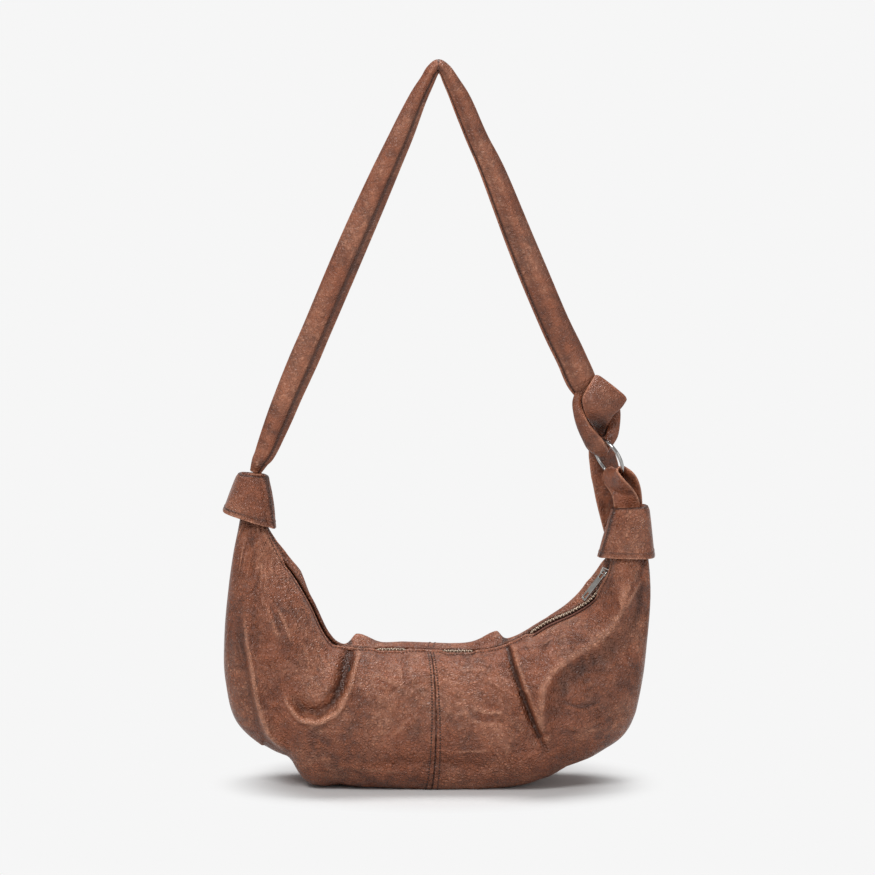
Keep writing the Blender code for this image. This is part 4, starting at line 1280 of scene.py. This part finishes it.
def stitch_frames(points, normals):
    """Places for stitches at equal steps along a drawn line on the leather."""
    lengths = [0.0]
    for a, b in zip(points, points[1:]):
        lengths.append(lengths[-1] + (b - a).length)
    frames = []
    at, i = stitch_pitch, 0
    while at < lengths[-1] - stitch_pitch:
        while lengths[i + 1] < at:
            i += 1
        t = (at - lengths[i]) / max(1.0e-9, lengths[i + 1] - lengths[i])
        run = (points[i + 1] - points[i]).normalized()
        normal = normals[i].lerp(normals[i + 1], t)
        normal = (normal - run * normal.dot(run)).normalized()
        place = points[i].lerp(points[i + 1], t) + normal * 0.00012
        frames.append(placed(place, run, normal.cross(run), normal))
        at += stitch_pitch
    return frames


def along_leather(side, spots):
    """Points and outward normals of the body's leather at (station, phi) spots."""
    points, normals = [], []
    for s, phi in spots:
        p = body_point(s, phi, side)
        tiny = 0.01
        a = body_point(s + tiny, phi, side) - body_point(s - tiny, phi, side)
        b = body_point(s, phi + tiny, side) - body_point(s, phi - tiny, side)
        normal = a.cross(b).normalized()
        if normal.y * side < 0:
            normal.negate()
        points.append(p)
        normals.append(normal)
    return points, normals


def phi_at(s, side, wanted):
    """The phi at which the leather has run this far from the zip's edge."""
    step, phi, length = 0.01, 0.0, 0.0
    before = body_point(s, 0.0, side)
    while length < wanted and phi < 1.2:
        phi += step
        here = body_point(s, phi, side)
        length += (here - before).length
        before = here
    return phi


def make_stitching(material, cuff_frames):
    size = (0.00110, 0.00085, 0.00040)
    stitch = small_pattern("primitive_uv_sphere_add", size, segments=8, ring_count=5, radius=1.0)
    frames = list(cuff_frames)
    for offset in (-seam_stitch_offset, seam_stitch_offset):
        spots = [(SEAM_STATION + offset, 0.12 + 2.75 * i / 200) for i in range(201)]
        for side in (-1, 1):
            frames += stitch_frames(*along_leather(side, spots))
    for side in (-1, 1):
        stations = [RIM_STITCH_START + RIM_STITCH_REACH * i / 220 for i in range(221)]
        spots = [(s, phi_at(s, side, rim_stitch_inset)) for s in stations]
        frames += stitch_frames(*along_leather(side, spots))
    row = repeated("body_stitching", stitch, frames)
    dress(row, material, "bag")
    bpy.data.objects.remove(stitch)


# Floor, light and camera


def make_stage():
    bpy.ops.object.select_all(action="DESELECT")
    bpy.ops.mesh.primitive_plane_add(size=60.0, location=(0.0, 0.0, -0.0005))
    floor = bpy.context.object
    floor.name = "floor"
    look = Look("pale_floor")
    pale = (0.922, 0.922, 0.922)
    rays = look.node("ShaderNodeLightPath", out="Is Camera Ray")
    glossy = look.node("ShaderNodeLightPath", out="Is Glossy Ray")
    clear = look.node("ShaderNodeLightPath", out="Is Transmission Ray")
    flat = look.stretch(look.place(), (0.85, 1.25, 1.0))
    away = look.node("ShaderNodeVectorMath", {"operation": "LENGTH"}, {0: flat}, "Value")
    far = look.ease(away, 0.12, 0.20)
    seen = look.maths("MINIMUM", rays + glossy + clear, 1.0)
    plain = look.node("ShaderNodeEmission", {}, {"Color": pale, "Strength": 1.0})
    tone = look.blend(seen, (0.50, 0.50, 0.50), (0.73, 0.73, 0.73))
    ground = look.node("ShaderNodeBsdfDiffuse", {}, {"Color": tone})
    mixed = look.node("ShaderNodeMixShader", {}, {0: seen * far, 1: ground, 2: plain})
    out = look.tree.nodes["Material Output"]
    look.tree.links.new(mixed.socket, out.inputs["Surface"])
    floor.data.materials.append(look.material)

    sky = Look("studio", "worlds", "Background")
    glossy = sky.node("ShaderNodeLightPath", out="Is Glossy Ray")
    camera = sky.node("ShaderNodeLightPath", out="Is Camera Ray")
    sky.set(Color=(1.0, 1.0, 1.0), Strength=0.32 + glossy * 0.15 + camera * 0.602)
    bpy.context.scene.world = sky.material


def add_lamp(name, place, target, size, energy):
    data = bpy.data.lights.new(name, "AREA")
    data.shape = "DISK"
    data.size = size
    data.energy = energy
    lamp = new_object(name, data)
    lamp.location = place
    lamp.rotation_euler = (Vector(target) - Vector(place)).to_track_quat("-Z", "Y").to_euler()


def make_light_and_camera():
    add_lamp("key", (-1.0, -2.0, 2.3), (0.0, 0.0, 0.22), 1.1, 46.0)
    add_lamp("fill", (1.8, -2.0, 0.9), (0.0, 0.0, 0.25), 1.6, 12.0)
    add_lamp("top", (0.1, 0.6, 2.5), (0.0, 0.0, 0.20), 1.2, 40.0)
    data = bpy.data.cameras.new("camera")
    camera = new_object("camera", data)
    target = Vector((picture_middle_x, 0.0, picture_middle_height / math.cos(view_elevation)))
    toward = Vector((0.0, -math.cos(view_elevation), math.sin(view_elevation)))
    camera.location = target + toward * view_distance
    camera.rotation_euler = (-toward).to_track_quat("-Z", "Y").to_euler()
    data.sensor_width = 36.0
    data.lens = data.sensor_width * view_distance / picture_width
    bpy.context.scene.camera = camera
    bpy.context.scene.view_settings.view_transform = "Standard"


def main():
    make_light_and_camera()
    make_stage()
    leather = waxed_leather("waxed_leather")
    strap_leather = waxed_leather("strap_leather", 0.70)
    zip_metal = aged_metal("zip_metal", (0.52, 0.50, 0.47), 0.22, 0.55)
    nickel = aged_metal("polished_nickel", (0.40, 0.39, 0.38), 0.14)
    tape = woven("zip_tape_weave", (0.115, 0.040, 0.026), 0.0008)
    cloth = woven("lining_cloth", (0.030, 0.022, 0.018), 0.0006)
    make_panels(leather)
    make_strap(strap_leather)
    make_tail(strap_leather)
    make_ring(nickel)
    make_loop(strap_leather)
    cuff_frames = [matrix for cuff in CUFFS for matrix in make_cuff(leather, **cuff)]
    make_lining(cloth)
    make_teeth(aged_metal("teeth_metal", (0.68, 0.54, 0.42), 0.34, 0.4))
    make_edge_rolls(leather)
    make_stitching(thread_look("sewing_thread"), cuff_frames)
    for node in ("strap_root", "loop_root"):
        leather_copy(node, strap_leather)
    metal_copy("zip_slider", "slider_metal", "slider", zip_metal)
    metal_copy("zip_pull", "pull_metal", "pull", zip_metal)
    for node, material in (("zip_bottom_stop", zip_metal), ("zip_tape_front", tape), ("zip_tape_back", tape)):
        wear_look(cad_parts[node], material)


main()
